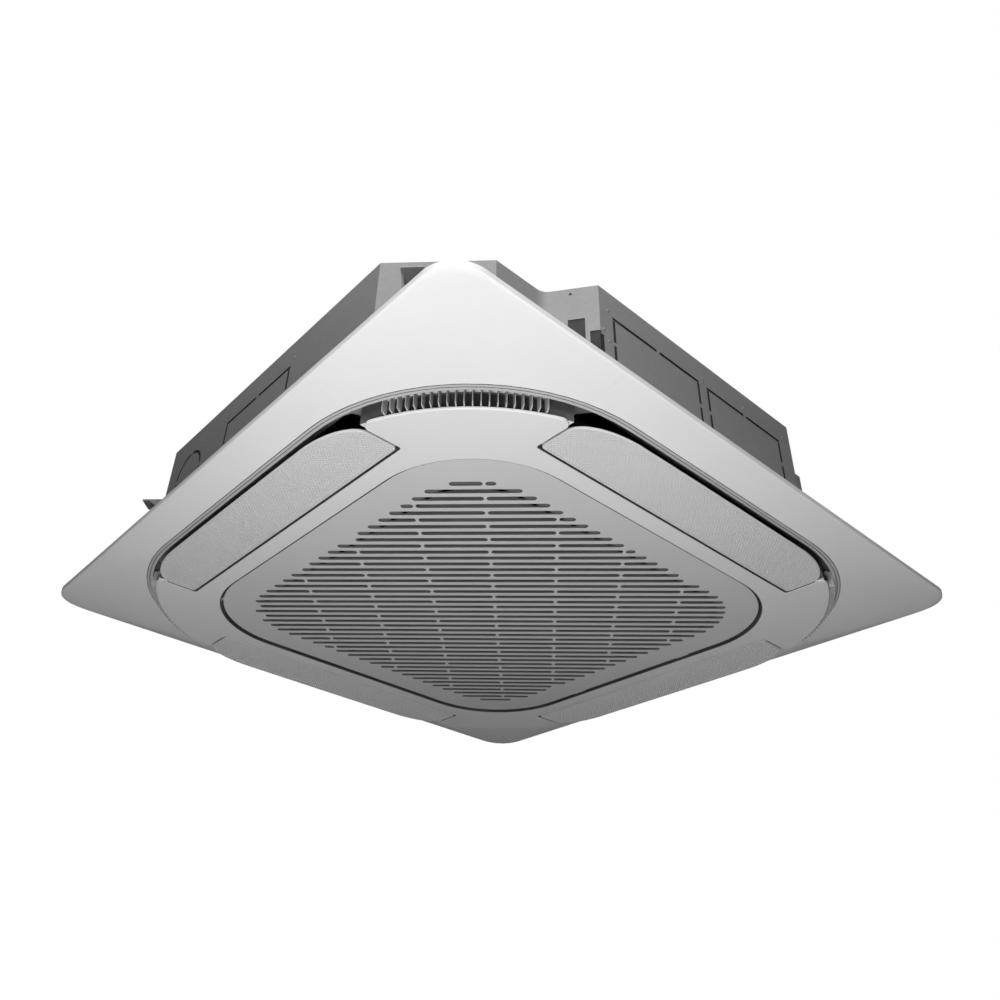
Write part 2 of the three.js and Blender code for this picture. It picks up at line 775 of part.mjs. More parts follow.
/** The rib comb in a corner's air gap, standing against the wall of the central panel. */
function cornerComb(turn) {
  const wallHalf = CENTRE_HALF - CENTRE.ledge;
  const { centre, radius } = bowedCorner(wallHalf, CENTRE_REACH - CENTRE.ledge, PANEL.sideBow);
  const root = radius + SEAT + COMB.strip;
  const tip = root + COMB.depth;
  const half = ((COMB.ribs - 1) * COMB.pitch) / 2;
  const edge = (COMB.rib / 2) / root;
  const teeth = [];
  for (let i = 0; i < COMB.ribs; i += 1) {
    const middle = (i * COMB.pitch - half) / root;
    teeth.push([root, middle - edge], [tip, middle - edge * COMB.taper]);
    teeth.push([tip, middle + edge * COMB.taper], [root, middle + edge]);
  }
  const end = half / root + edge;
  const back = radius - COMB.strip;
  const loop = [...teeth, [back, end], [back, 0], [back, -end]].map(([reach, angle]) => {
    const turned45 = angle + Math.PI / 4;
    return new THREE.Vector2(centre + reach * Math.cos(turned45), centre + reach * Math.sin(turned45));
  });
  const wall = prism(inset(centreWall(), -SEAT), 0, PANEL.ceiling);
  return quarterTurn(prism(loop, COMB.bottom, COMB.top).subtract(wall), turn);
}

// ---------------------------------------------------------------- grille and filter

/** How far a row of slots reaches to each side, at a distance from the centre along the diagonal. */
function fieldReach(distance) {
  const half = CENTRE.openingHalf - GRILLE.fieldInset;
  const radius = CENTRE.openingRadius - GRILLE.fieldInset;
  const arcCentre = (half - radius) * Math.SQRT2;
  if (distance < radius * Math.SQRT1_2) {
    return arcCentre + Math.sqrt(radius ** 2 - distance ** 2);
  }
  if (distance < (half + half - radius) * Math.SQRT1_2) {
    return half * Math.SQRT2 - distance;
  }
  return Math.sqrt(Math.max(0, radius ** 2 - (distance - arcCentre) ** 2));
}

/** The slots of one row, as pairs of ends along the row. */
function rowSlots(row) {
  const distance = Math.abs(rowDistance(row));
  const reach = fieldReach(distance);
  const pitch = GRILLE.slotLength + GRILLE.bridge;
  const first = (row % 2 === 0 ? GRILLE.stagger : GRILLE.stagger + pitch / 2) - 3 * pitch;
  const slots = [];
  for (let i = 0; i < 7; i += 1) {
    const from = Math.max(first + i * pitch + GRILLE.bridge / 2, -reach);
    const to = Math.min(first + (i + 1) * pitch - GRILLE.bridge / 2, reach);
    if (to - from > GRILLE.shortest) {
      slots.push([from, to]);
    }
  }
  return slots;
}

function rowDistance(row) {
  return (row - (GRILLE.rows - 1) / 2) * GRILLE.rowPitch;
}

/** The outline of a slot with round ends, turned to run across the panel's diagonal. */
function slotOutline(distance, [from, to]) {
  const radius = GRILLE.slot / 2;
  const sides = GRILLE.endSides;
  const ends = [
    ...arc(to - radius, 0, radius, -Math.PI / 2, Math.PI / 2, sides),
    ...arc(from + radius, 0, radius, Math.PI / 2, Math.PI * 1.5, sides),
  ];
  const across = new THREE.Vector2(Math.SQRT1_2, -Math.SQRT1_2);
  const along = new THREE.Vector2(Math.SQRT1_2, Math.SQRT1_2);
  return ends.map((point) => {
    const at = across.clone().multiplyScalar(point.x);
    return at.addScaledVector(along, distance + point.y);
  });
}

function intakeGrille() {
  const bottom = GRILLE.recess;
  const top = bottom + GRILLE.plate;
  const outline = roundedSquare(GRILLE_HALF, GRILLE_RADIUS, 7);
  const slots = [];
  for (let row = 0; row < GRILLE.rows; row += 1) {
    for (const slot of rowSlots(row)) {
      slots.push(prism(slotOutline(rowDistance(row), slot), bottom - OVERLAP, top + OVERLAP));
    }
  }
  const plate = prism(outline, bottom, top).subtract(joined(slots));
  const rimHalf = GRILLE_HALF - GRILLE.hingeInset * 2;
  const rimRadius = GRILLE_RADIUS - GRILLE.hingeInset * 2;
  const rimOuter = roundedSquare(rimHalf, rimRadius, 5);
  const rimInner = roundedSquare(rimHalf - GRILLE.rim, rimRadius - GRILLE.rim, 5).reverse();
  const rim = prism(rimOuter, top - GRILLE.plate / 2, top + GRILLE.rimHeight, [rimInner]);
  return joined([plate, rim, ...hingeRods(GRILLE.peg, GRILLE.pegTip), ...[-1, 1].flatMap(catchGuides)]);
}

/** The two guides that hold a catch down on the back of the grille. */
function catchGuides(end) {
  const top = GRILLE.recess + GRILLE.plate;
  const cap = top + SEAT + CATCH.thickness + SEAT;
  const x0 = GRILLE_HALF - CATCH.length + CATCH.guide;
  const x1 = GRILLE_HALF - CATCH.guide * 2;
  return [-1, 1].map((side) => {
    const inner = CATCH.width / 2 + SEAT;
    const y = (reach) => end * CATCH.spread + side * reach;
    const wall = slab(x0, x1, y(inner), y(inner + CATCH.guide), top - OVERLAP, cap + CATCH.guide);
    return wall.add(slab(x0, x1, y(inner - CATCH.guide), y(inner + CATCH.guide), cap, cap + CATCH.guide));
  });
}

/** The filter: a net in a frame with crossing bars, lying on the back of the grille. */
function preFilter() {
  const bottom = GRILLE.recess + GRILLE.plate + SEAT;
  const outline = roundedSquare(FILTER_HALF, FILTER_RADIUS, 5);
  const inner = roundedSquare(FILTER_HALF - FILTER.frameWidth, FILTER_RADIUS - FILTER.frameWidth, 5);
  const net = prism(outline, bottom, bottom + FILTER.net);
  const frame = prism(outline, bottom, bottom + FILTER.frame, [inner.reverse()]);
  const bars = [];
  const pitch = (FILTER_HALF * 2) / (FILTER.bars + 1);
  for (let i = 1; i <= FILTER.bars; i += 1) {
    const at = -FILTER_HALF + i * pitch;
    const half = 1.5;
    const reach = FILTER_HALF - FILTER.frameWidth + OVERLAP;
    bars.push(box(at - half, -reach, bottom, at + half, reach, bottom + FILTER.frame - 0.5));
    bars.push(box(-reach, at - half, bottom, reach, at + half, bottom + FILTER.frame - 0.5));
  }
  return joined([net, frame, ...bars]);
}

/** A sliding catch at the free edge of the grille, in its released place. */
function grilleCatch(side) {
  const bottom = GRILLE.recess + GRILLE.plate + SEAT;
  const tip = GRILLE_HALF - SEAT;
  const front = tip - CATCH.nose;
  const back = front - CATCH.length;
  const half = CATCH.width / 2;
  const y = side * CATCH.spread;
  const slider = box(back, y - half, bottom, front, y + half, bottom + CATCH.thickness);
  const nose = prism([
    new THREE.Vector2(front - OVERLAP, y - half + CATCH.nose),
    new THREE.Vector2(tip, y - half + CATCH.nose * 2),
    new THREE.Vector2(tip, y + half - CATCH.nose * 2),
    new THREE.Vector2(front - OVERLAP, y + half - CATCH.nose),
  ], bottom, bottom + CATCH.thickness * 0.7);
  const grip = box(back, y - half * 0.7, bottom, back + CATCH.nose * 2, y + half * 0.7, bottom + CATCH.grip);
  return joined([slider, nose, grip]);
}

// ---------------------------------------------------------------- vanes and their motors

/** Outline of the vane on the +X side. */
function vaneOutline(shrink) {
  const half = VANE_LENGTH / 2 - shrink;
  const x0 = VANE_INNER + shrink;
  const bow = PANEL.sideBow;
  const outer = CENTRE_HALF - shrink;
  const edgeX = (y) => outer - bow + Math.sqrt(bow ** 2 - y ** 2);
  const r0 = VANE.innerRadius;
  const r1 = VANE.outerRadius;
  const cornerY = half - r1;
  const cornerX = edgeX(cornerY) - r1;
  const outerEdge = [];
  const edgeSteps = 4;
  for (let i = 1; i < edgeSteps; i += 1) {
    const y = -cornerY + (2 * cornerY * i) / edgeSteps;
    outerEdge.push(new THREE.Vector2(edgeX(y), y));
  }
  return [
    ...arc(x0 + r0, -half + r0, r0, Math.PI, Math.PI * 1.5, 2),
    ...arc(cornerX, -cornerY, r1, -Math.PI / 2, 0, 3),
    ...outerEdge,
    ...arc(cornerX, cornerY, r1, 0, Math.PI / 2, 3),
    ...arc(x0 + r0, half - r0, r0, Math.PI / 2, Math.PI, 2),
  ];
}

function vane(turn) {
  const blade = loft([
    atHeight(vaneOutline(VANE.edge), 0),
    atHeight(vaneOutline(0), VANE.edge),
    atHeight(vaneOutline(0), VANE.thickness),
  ], false);
  const half = VANE_LENGTH / 2;
  const axis = (y) => new THREE.Vector3(VANE_AXIS, y, VANE.axisHeight);
  const parts = [blade];
  for (const end of [-1, 1]) {
    parts.push(rod(axis(end * half), axis(end * (half - VANE.lug)), VANE.lugRadius, 6));
  }
  parts.push(box(VANE_AXIS - VANE.rib / 2, -half + VANE.lug / 2, VANE.edge,
    VANE_AXIS + VANE.rib / 2, half - VANE.lug / 2, VANE.axisHeight + 1));
  parts.push(rod(axis(-half + OVERLAP), axis(-half - VANE.pin), VANE.pinRadius, 8));
  const socket = rod(axis(half - VANE.lug + 2), axis(half + OVERLAP), MOTOR.shaftRadius + RUN, 8);
  return quarterTurn(joined(parts).subtract(socket), turn);
}

/** The stepping motor behind the end wall of a vane window. */
function vaneMotor(turn) {
  const face = CENTRE.windowLength / 2 + CENTRE.wall + SEAT;
  const height = VANE.axisHeight + MOTOR.shaftOffset;
  const at = (y, z) => new THREE.Vector3(VANE_AXIS, y, z);
  const body = rod(at(face, height), at(face + MOTOR.length, height), MOTOR.radius, 10);
  const shaft = rod(at(face + OVERLAP, VANE.axisHeight), at(VANE_LENGTH / 2 - MOTOR.shaft, VANE.axisHeight),
    MOTOR.shaftRadius, 6);
  const ear = box(VANE_AXIS - MOTOR.radius - MOTOR.ear, face, height - MOTOR.ear / 2,
    VANE_AXIS + MOTOR.radius + MOTOR.ear, face + 1.5, height + MOTOR.ear / 2);
  const plug = box(VANE_AXIS - 6, face + 4, height + MOTOR.radius - 3, VANE_AXIS + 6,
    face + MOTOR.length - 2, height + MOTOR.radius + 3);
  return quarterTurn(joined([body, shaft, ear, plug]), turn);
}

// ---------------------------------------------------------------- sheet-metal body

/** The plan of the body, anticlockwise, from the corner at -X -Y. */
function casePlan() {
  const corner = ({ wallEnd, proudEnd }) => {
    const chamfer = CASE.recess - wallEnd;
    const slantX = proudEnd + CASE.slantRun;
    const slantY = CASE.half - CASE.slantDrop;
    const meetX = slantX + ((slantY - CASE.recess) * CASE.slantRun) / CASE.slantDrop;
    const bend = new THREE.QuadraticBezierCurve(
      new THREE.Vector2(meetX + CASE.bend, CASE.recess),
      new THREE.Vector2(meetX, CASE.recess),
      new THREE.Vector2(slantX, slantY),
    );
    return [
      new THREE.Vector2(CASE.half, wallEnd),
      new THREE.Vector2(CASE.half - chamfer, CASE.recess),
      ...bend.getPoints(4),
      new THREE.Vector2(proudEnd, CASE.half),
    ];
  };
  const near = corner(CORNERS.near).map((point) => new THREE.Vector2(-point.x, -point.y));
  const side = corner(CORNERS.side).map((point) => new THREE.Vector2(point.x, -point.y)).reverse();
  const front = [...near, ...side];
  return [...front, ...front.map((point) => point.clone().negate())];
}

const CASE_PLAN = casePlan();
const CASE_BOTTOM = PANEL.ceiling + SEAT;
const CASE_ROOF = CASE.top - CASE.sheet;

/** The start, direction and outward normal of the slanted face beside the near corner. */
function slantFrame() {
  const start = new THREE.Vector3(-(CORNERS.near.proudEnd + CASE.slantRun), -(CASE.half - CASE.slantDrop), 0);
  const end = new THREE.Vector3(-CORNERS.near.proudEnd, -CASE.half, 0);
  const along = end.clone().sub(start).normalize();
  const normal = new THREE.Vector3(along.y, -along.x, 0);
  return { start, end, along, normal };
}

/** Slits round a rectangular knock-out on a wall that faces -Y. */
function rectangleSlits({ from, to, top, split }) {
  const half = KNOCKOUT.slit / 2;
  const gap = KNOCKOUT.bridge / 2;
  const middle = (top + KNOCKOUT.bottom) / 2;
  const y0 = -CASE.half - OVERLAP;
  const y1 = -CASE.half + CASE.sheet + OVERLAP;
  const slits = [];
  for (const z of [top, KNOCKOUT.bottom]) {
    slits.push(box(from - half, y0, z - half, split - gap, y1, z + half));
    slits.push(box(split + gap, y0, z - half, to + half, y1, z + half));
  }
  for (const x of [from, to]) {
    slits.push(box(x - half, y0, KNOCKOUT.bottom + gap, x + half, y1, middle - gap));
    slits.push(box(x - half, y0, middle + gap, x + half, y1, top - gap));
  }
  return slits;
}

/** Slits round a circular knock-out on a wall that faces -Y. */
function roundSlits({ along, height, radius, arcs }) {
  const slits = [];
  const span = (Math.PI * 2) / arcs;
  const gap = KNOCKOUT.bridge / 2 / radius;
  for (let i = 0; i < arcs; i += 1) {
    const from = i * span + gap;
    const to = (i + 1) * span - gap;
    const outer = arc(0, 0, radius + KNOCKOUT.slit / 2, from, to, 3);
    const inner = arc(0, 0, radius - KNOCKOUT.slit / 2, to, from, 3);
    const flat = prism([...outer, ...inner], -CASE.sheet - OVERLAP, OVERLAP);
    const upright = new THREE.Matrix4().makeRotationX(Math.PI / 2);
    upright.premultiply(new THREE.Matrix4().makeTranslation(along, -CASE.half, height));
    slits.push(moved(flat, upright));
  }
  return slits;
}

/** Openings beside the near corner: the cable window, the notch round the edge and a small hole. */
function cornerCuts() {
  const { start, end, along, normal } = slantFrame();
  const turn = Math.atan2(along.y, along.x);
  const place = new THREE.Matrix4().makeRotationZ(turn).setPosition(start);
  const window = moved(box(CABLE_WINDOW.from, -5, CABLE_WINDOW.bottom, CABLE_WINDOW.to, 5, CABLE_WINDOW.top), place);
  const at = start.clone().addScaledVector(along, VENT_HOLE.along).setZ(VENT_HOLE.height);
  const hole = rod(at.clone().addScaledVector(normal, 4), at.clone().addScaledVector(normal, -4), VENT_HOLE.radius, 8);
  const length = start.distanceTo(end);
  const slantSide = moved(box(length - CORNER_NOTCH.back, -4, CASE_BOTTOM - OVERLAP, length + 2, 4,
    CORNER_NOTCH.top), place);
  const frontSide = box(end.x - 2, end.y - 4, CASE_BOTTOM - OVERLAP, end.x + CORNER_NOTCH.front, end.y + 4,
    CORNER_NOTCH.top - CORNER_NOTCH.radius);
  return [window, hole, slantSide, frontSide];
}

/** Holes of the pipes and the drain, through walls and liner. */
function serviceHoles(grow) {
  const gas = { x: PIPES.gasX, r: PIPES.gasRadius };
  const liquid = { x: PIPES.liquidX, r: PIPES.liquidRadius };
  const holes = [gas, liquid].map(({ x, r }) => rod(
    new THREE.Vector3(x, CASE.recess - 30, PIPES.height),
    new THREE.Vector3(x, CASE.recess + 10, PIPES.height), r + grow));
  holes.push(rod(new THREE.Vector3(CASE.half - 30, DRAIN.exitY, DRAIN.height),
    new THREE.Vector3(CASE.half + 10, DRAIN.exitY, DRAIN.height), DRAIN.radius + grow));
  return holes;
}

function casing() {
  const inner = inset(CASE_PLAN, CASE.sheet);
  const shell = prism(CASE_PLAN, CASE_BOTTOM, CASE.top).subtract(prism(inner, CASE_BOTTOM - OVERLAP, CASE_ROOF));
  const dish = post(0, 0, CASE_ROOF - CASE.dishDepth, CASE_ROOF + OVERLAP / 2, CASE.dishRadius, 20);
  const dishCut = post(0, 0, CASE.top - CASE.dishDepth, CASE.top + OVERLAP, CASE.dishRadius - CASE.sheet, 20);
  const flip = new THREE.Matrix4().makeRotationZ(-Math.PI / 2);
  const side = [...rectangleSlits({ ...SIDE_KNOCKOUT, from: -SIDE_KNOCKOUT.to, to: -SIDE_KNOCKOUT.from,
    split: -SIDE_KNOCKOUT.split }), ...roundSlits({ ...ROUND_KNOCKOUT, along: -ROUND_KNOCKOUT.along })];
  return without(shell.add(dish), [
    dishCut,
    ...FRONT_KNOCKOUTS.flatMap(rectangleSlits),
    ...side.map((slit) => moved(slit, flip)),
    ...cornerCuts(),
    ...serviceHoles(SEAT * 2),
  ]);
}

/** Foam lining of the walls and the roof. */
function casingLiner() {
  const outer = inset(CASE_PLAN, CASE.sheet + SEAT);
  const inner = inset(CASE_PLAN, CASE.sheet + SEAT + LINER.thickness);
  const bottom = PAN.top + SEAT;
  const top = CASE_ROOF - SEAT;
  const block = prism(outer, bottom, top);
  const hollow = prism(inner, bottom - OVERLAP, top - LINER.roof);
  const motorHole = post(0, 0, bottom, CASE.top, LINER.motorHole, 16);
  return without(block, [hollow, motorHole, ...serviceHoles(SEAT * 4)]);
}

/** A hanger bracket on a corner's chamfer, with an open slot for the hanger bolt. */
function hangerBracket(signX, signY, { wallEnd }) {
  const face = (CASE.half + wallEnd) / Math.SQRT2 + SEAT;
  const bolt = (HANGER.boltX + HANGER.boltY) / Math.SQRT2;
  const across = (HANGER.boltY - HANGER.boltX) / Math.SQRT2;
  const half = HANGER.width / 2;
  const top = HANGER.ear + HANGER.plate;
  const upright = box(face, -half, HANGER.ear - HANGER.drop, face + HANGER.plate, half, top);
  const ear = box(face, -half, HANGER.ear, bolt + HANGER.tip, half, top);
  const slot = prism(roundedRectangle(bolt - HANGER.slot / 2, -HANGER.slot / 2, bolt + HANGER.tip + OVERLAP * 8,
    HANGER.slot / 2, HANGER.slot / 2 - 0.1, 4), HANGER.ear - OVERLAP, top + OVERLAP);
  const gussetLoop = [
    new THREE.Vector2(face, HANGER.ear + OVERLAP),
    new THREE.Vector2(face, HANGER.ear - HANGER.gusset),
    new THREE.Vector2(bolt + HANGER.tip / 2, HANGER.ear + OVERLAP),
  ];
  const upturn = new THREE.Matrix4().makeRotationX(Math.PI / 2);
  const gussets = [-half + HANGER.plate, half].map((y) => {
    const place = new THREE.Matrix4().makeTranslation(0, y, 0).multiply(upturn);
    return moved(prism(gussetLoop, 0, HANGER.plate), place);
  });
  const bracket = joined([upright, ear, ...gussets]).subtract(slot);
  const shift = new THREE.Matrix4().makeTranslation(0, across, 0);
  const turn = new THREE.Matrix4().makeRotationZ(Math.PI / 4).multiply(shift);
  const mirror = new THREE.Matrix4().makeScale(signX, signY, 1);
  return moved(bracket, mirror.multiply(turn));
}

// ---------------------------------------------------------------- drain pan, coil and pipes

function drainPan() {
  const outline = inset(CASE_PLAN, CASE.sheet + SEAT);
  const hole = roundedSquare(PAN.hole, PAN.holeRadius, 4).reverse();
  const block = prism(outline, CASE_BOTTOM, PAN.top, [hole]);
  const half = PAN.outletLength / 2;
  const outlet = roundedRectangle(PAN.outletIn, -half, PAN.outletOut, half, PAN.outletRadius, 2);
  const inner = prism(inset(CASE_PLAN, CASE.sheet + SEAT + LINER.thickness), CASE_BOTTOM - OVERLAP, CASE.top);
  const outlets = CORNER_TURNS.map((turn) => {
    return quarterTurn(prism(outlet, CASE_BOTTOM - OVERLAP, PAN.top + OVERLAP), turn).intersect(inner);
  });
  const gap = PAN.troughOut - COIL.outer;
  const troughInner = roundedSquare(PAN.troughIn, COIL.radius - COIL.thickness - gap, 4).reverse();
  const trough = prism(roundedSquare(PAN.troughOut, COIL.radius + gap, 5), PAN.troughFloor, PAN.top + OVERLAP,
    [troughInner]);
  const plugAt = plugPlace();
  const drainHole = post(plugAt.x, plugAt.y, CASE_BOTTOM - OVERLAP, PAN.troughFloor + OVERLAP, PAN.plugRadius - 4);
  return without(block, [...outlets, trough, drainHole]);
}

/** Where the drain plug sits, in the bottom of the trough near the pump. */
function plugPlace() {
  return new THREE.Vector2((PAN.troughIn + PAN.troughOut) / 2, COIL.end + 32);
}

function drainPlug() {
  const at = plugPlace();
  const stem = post(at.x, at.y, CASE_BOTTOM - SEAT, PAN.troughFloor - 2, PAN.plugRadius - 4 - SEAT);
  const head = post(at.x, at.y, CASE_BOTTOM - SEAT - 2.5, CASE_BOTTOM - SEAT, PAN.plugRadius - 2);
  return stem.add(head);
}

/** The middle line of the coil, from one end round to the other, and its offset outlines. */
function coilOutline(offset) {
  const half = COIL.outer - COIL.thickness / 2 + offset;
  const radius = COIL.radius - COIL.thickness / 2 + offset;
  const centre = half - radius;
  return [
    new THREE.Vector2(COIL.end, half),
    ...arc(-centre, centre, radius, Math.PI / 2, Math.PI, 5),
    ...arc(-centre, -centre, radius, Math.PI, Math.PI * 1.5, 5),
    ...arc(centre, -centre, radius, -Math.PI / 2, 0, 5),
    new THREE.Vector2(half, COIL.end),
  ];
}

function coil() {
  const outer = coilOutline(COIL.thickness / 2);
  const inner = coilOutline(-COIL.thickness / 2).reverse();
  return prism([...outer, ...inner], PAN.troughFloor + SEAT, COIL.top);
}

function tubeHeight(row) {
  return PAN.troughFloor + COIL.rowPitch * (row + 1);
}

/** The end plate at the coil's left end, with the return bends of every tube row. */
function returnBends() {
  const middle = COIL.outer - COIL.thickness / 2;
  const x0 = COIL.end + SEAT;
  const half = COIL.thickness / 2;
  const parts = [box(x0, middle - half, PAN.troughFloor + SEAT, x0 + COIL.sheet, middle + half, COIL.top)];
  for (let row = 0; row < COIL.rows; row += 1) {
    const z = tubeHeight(row);
    const bend = [-1, -0.6, 0, 0.6, 1].map((share) => new THREE.Vector3(
      x0 + COIL.sheet / 2 + 3 + COIL.column * 1.1 * Math.cos((share * Math.PI) / 2),
      middle + COIL.column * Math.sin((share * Math.PI) / 2),
      z));
    bend.unshift(new THREE.Vector3(x0 + COIL.sheet / 2, middle - COIL.column, z));
    bend.push(new THREE.Vector3(x0 + COIL.sheet / 2, middle + COIL.column, z));
    parts.push(bar(bend, COIL.tube, 5, 5));
  }
  return joined(parts);
}

/** The end plate at the coil's right end, with the header and its feeder tubes. */
function coilHeader() {
  const middle = COIL.outer - COIL.thickness / 2;
  const y0 = COIL.end + SEAT;
  const half = COIL.thickness / 2;
  const x = middle - COIL.column / 2;
  const y = y0 + COIL.sheet + COIL.header + 6;
  const parts = [box(middle - half, y0, PAN.troughFloor + SEAT, middle + half, y0 + COIL.sheet, COIL.top)];
  parts.push(post(x, y, tubeHeight(0) - 8, tubeHeight(COIL.rows - 1) + 6, COIL.header));
  for (let row = 0; row < COIL.rows; row += 1) {
    const z = tubeHeight(row);
    parts.push(rod(new THREE.Vector3(x, y0 + COIL.sheet / 2, z), new THREE.Vector3(x, y, z), COIL.tube, 6));
  }
  return joined(parts);
}

/** Where the header stands, for the gas pipe that leaves it. */
function headerPlace() {
  const middle = COIL.outer - COIL.thickness / 2;
  return new THREE.Vector2(middle - COIL.column / 2, COIL.end + SEAT + COIL.sheet + COIL.header + 6);
}

function gasPipe() {
  const from = headerPlace();
  const start = from.y + COIL.header + SEAT;
  const bent = bar([
    new THREE.Vector3(from.x, start, PIPES.height),
    new THREE.Vector3(from.x, start + 20, PIPES.height),
    new THREE.Vector3(PIPES.gasX, start + 60, PIPES.height),
    new THREE.Vector3(PIPES.gasX, start + 90, PIPES.height),
  ], PIPES.gasRadius, 6, 10);
  return bent.add(straightPipe(PIPES.gasX, start + 88, PIPES.gasRadius));
}

function liquidPipe() {
  const from = headerPlace();
  const z = PIPES.height;
  const y = COIL.outer - COIL.thickness / 2 - COIL.column;
  const start = COIL.end + SEAT * 2 + COIL.sheet;
  const bendOut = start + COIL.column * 1.1 + COIL.tube + 6;
  const bent = bar([
    new THREE.Vector3(bendOut, y, z),
    new THREE.Vector3(bendOut + 30, y + 2, z),
    new THREE.Vector3(PIPES.liquidX - 8, from.y + 132, z),
    new THREE.Vector3(PIPES.liquidX, CASE.recess - 24, z),
  ], PIPES.liquidRadius, 7, 8);
  return bent.add(straightPipe(PIPES.liquidX, CASE.recess - 26, PIPES.liquidRadius));
}

/** The straight end of a pipe, out through the wall. */
function straightPipe(x, from, radius) {
  return rod(new THREE.Vector3(x, from, PIPES.height), new THREE.Vector3(x, PIPES.end, PIPES.height), radius);
}

/** A flare nut on the outer end of a pipe. */
function flareNut(x, radius) {
  const y = PIPES.end - PIPES.nut * 1.4;
  const bore = radius + RUN;
  const body = rod(new THREE.Vector3(x, y, PIPES.height),
    new THREE.Vector3(x, y + PIPES.nut * 1.4 + 6, PIPES.height), radius + 5, 6);
  const hole = rod(new THREE.Vector3(x, y - OVERLAP, PIPES.height),
    new THREE.Vector3(x, y + PIPES.nut * 2, PIPES.height), bore);
  return body.subtract(hole);
}

/** The plate round both pipes, on the outside of the recessed wall. */
function pipePlate() {
  const y0 = CASE.recess + SEAT;
  const middle = (PIPES.gasX + PIPES.liquidX) / 2;
  const plate = box(middle - PIPES.plateHalf, y0, PIPES.height - PIPES.plateHalf, middle + PIPES.plateHalf,
    y0 + PIPES.plate, PIPES.height + PIPES.plateHalf);
  const fits = [[PIPES.gasX, PIPES.gasRadius], [PIPES.liquidX, PIPES.liquidRadius]];
  return without(plate, fits.map(([x, radius]) => rod(
    new THREE.Vector3(x, y0 - OVERLAP, PIPES.height),
    new THREE.Vector3(x, y0 + PIPES.plate + OVERLAP, PIPES.height), radius + SEAT)));
}

// ---------------------------------------------------------------- pump, drain and float

function drainPump() {
  const { x, y } = DRAIN.pump;
  const motor = post(x, y, DRAIN.pumpBottom + 24, DRAIN.pumpTop, DRAIN.pumpRadius - 5, 16);
  const volute = post(x, y, DRAIN.pumpBottom, DRAIN.pumpBottom + 26, DRAIN.pumpRadius, 16);
  const inlet = post(x, y, PAN.troughFloor + SEAT, DRAIN.pumpBottom + 2, DRAIN.inlet);
  const cap = post(x, y, DRAIN.pumpTop - 2, DRAIN.pumpTop + 4, DRAIN.pumpRadius - 12, 12);
  return joined([motor, volute, inlet, cap]);
}

/** The drain tube, from the pump's side out through the wall, with its socket collar. */
function drainTube() {
  const { x, y } = DRAIN.pump;
  const side = DRAIN.pumpRadius - 5 + SEAT;
  const direction = new THREE.Vector2(1, -1).normalize();
  const start = new THREE.Vector2(x, y).addScaledVector(direction, side + DRAIN.radius * 0.5);
  const z = DRAIN.height;
  const tube = bar([
    new THREE.Vector3(start.x, start.y, z),
    new THREE.Vector3(start.x + 12, start.y - 12, z),
    new THREE.Vector3(start.x + 34, DRAIN.exitY, z),
    new THREE.Vector3(start.x + 56, DRAIN.exitY, z),
  ], DRAIN.radius, 5, 10);
  const straight = rod(new THREE.Vector3(start.x + 54, DRAIN.exitY, z), new THREE.Vector3(DRAIN.end, DRAIN.exitY, z),
    DRAIN.radius);
  const collar = rod(new THREE.Vector3(CASE.half + SEAT, DRAIN.exitY, z),
    new THREE.Vector3(CASE.half + 12, DRAIN.exitY, z), DRAIN.collar);
  return joined([tube, straight, collar]);
}

function floatGuide() {
  const { x, y } = FLOAT.at;
  const floor = PAN.troughFloor + SEAT;
  const stopAt = floor + FLOAT.footHeight + SEAT + FLOAT.height + FLOAT.travel + SEAT;
  return joined([
    post(x, y, floor, floor + FLOAT.footHeight, FLOAT.foot),
    post(x, y, floor, stopAt + 8, FLOAT.rod),
    post(x, y, stopAt, stopAt + 4, FLOAT.stop),
  ]);
}

function float() {
  const { x, y } = FLOAT.at;
  const bottom = PAN.troughFloor + FLOAT.footHeight + SEAT * 2;
  const body = post(x, y, bottom, bottom + FLOAT.height, FLOAT.radius);
  return body.subtract(post(x, y, bottom - OVERLAP, bottom + FLOAT.height + OVERLAP, FLOAT.rod + SEAT));
}

// ---------------------------------------------------------------- fan, its motor and bell mouth

/** Points of a quarter ellipse from one [radius, height] to another. */
function quarterEllipse([r0, z0], [r1, z1], sides) {
  const points = [];
  for (let i = 0; i <= sides; i += 1) {
    const angle = (i / sides) * (Math.PI / 2);
    points.push([r1 + (r0 - r1) * (1 - Math.sin(angle)), z0 + (z1 - z0) * (1 - Math.cos(angle))]);
  }
  return points;
}

function bellMouth() {
  const plateTop = BELL.height + BELL.plate;
  const outline = roundedSquare(PAN.hole - SEAT, PAN.holeRadius - SEAT, 4);
  const round = arc(0, 0, BELL.mouth - OVERLAP, 0, Math.PI * 2, BELL.turns).slice(0, -1).reverse();
  const half = BOX.length / 2;
  const windowY = BOX.centreY - BOX.width / 2;
  const window = box(-half - SEAT, windowY - SEAT, BELL.height - OVERLAP, half + SEAT,
    windowY + BOX.width + SEAT, plateTop + OVERLAP);
  const plate = prism(outline, BELL.height, plateTop, [round]).subtract(window);
  const skin = quarterEllipse([BELL.mouth, BELL.height], [BELL.throat, BELL.throatTop], 4);
  const back = quarterEllipse([BELL.mouth, plateTop], [BELL.throat + BELL.wall, BELL.throatTop], 4).reverse();
  const lip = [[BELL.throat, BELL.throatTop + BELL.lip], [BELL.throat + BELL.wall, BELL.throatTop + BELL.lip]];
  return plate.add(turned([...skin, ...lip, ...back], BELL.turns));
}

/** Half-thickness profile of a fan blade along its chord. */
function bladeHalf(share) {
  return (FAN.bladeThickness / 2) * Math.sin(Math.PI * Math.sqrt(share)) ** 0.8 + 0.7;
}

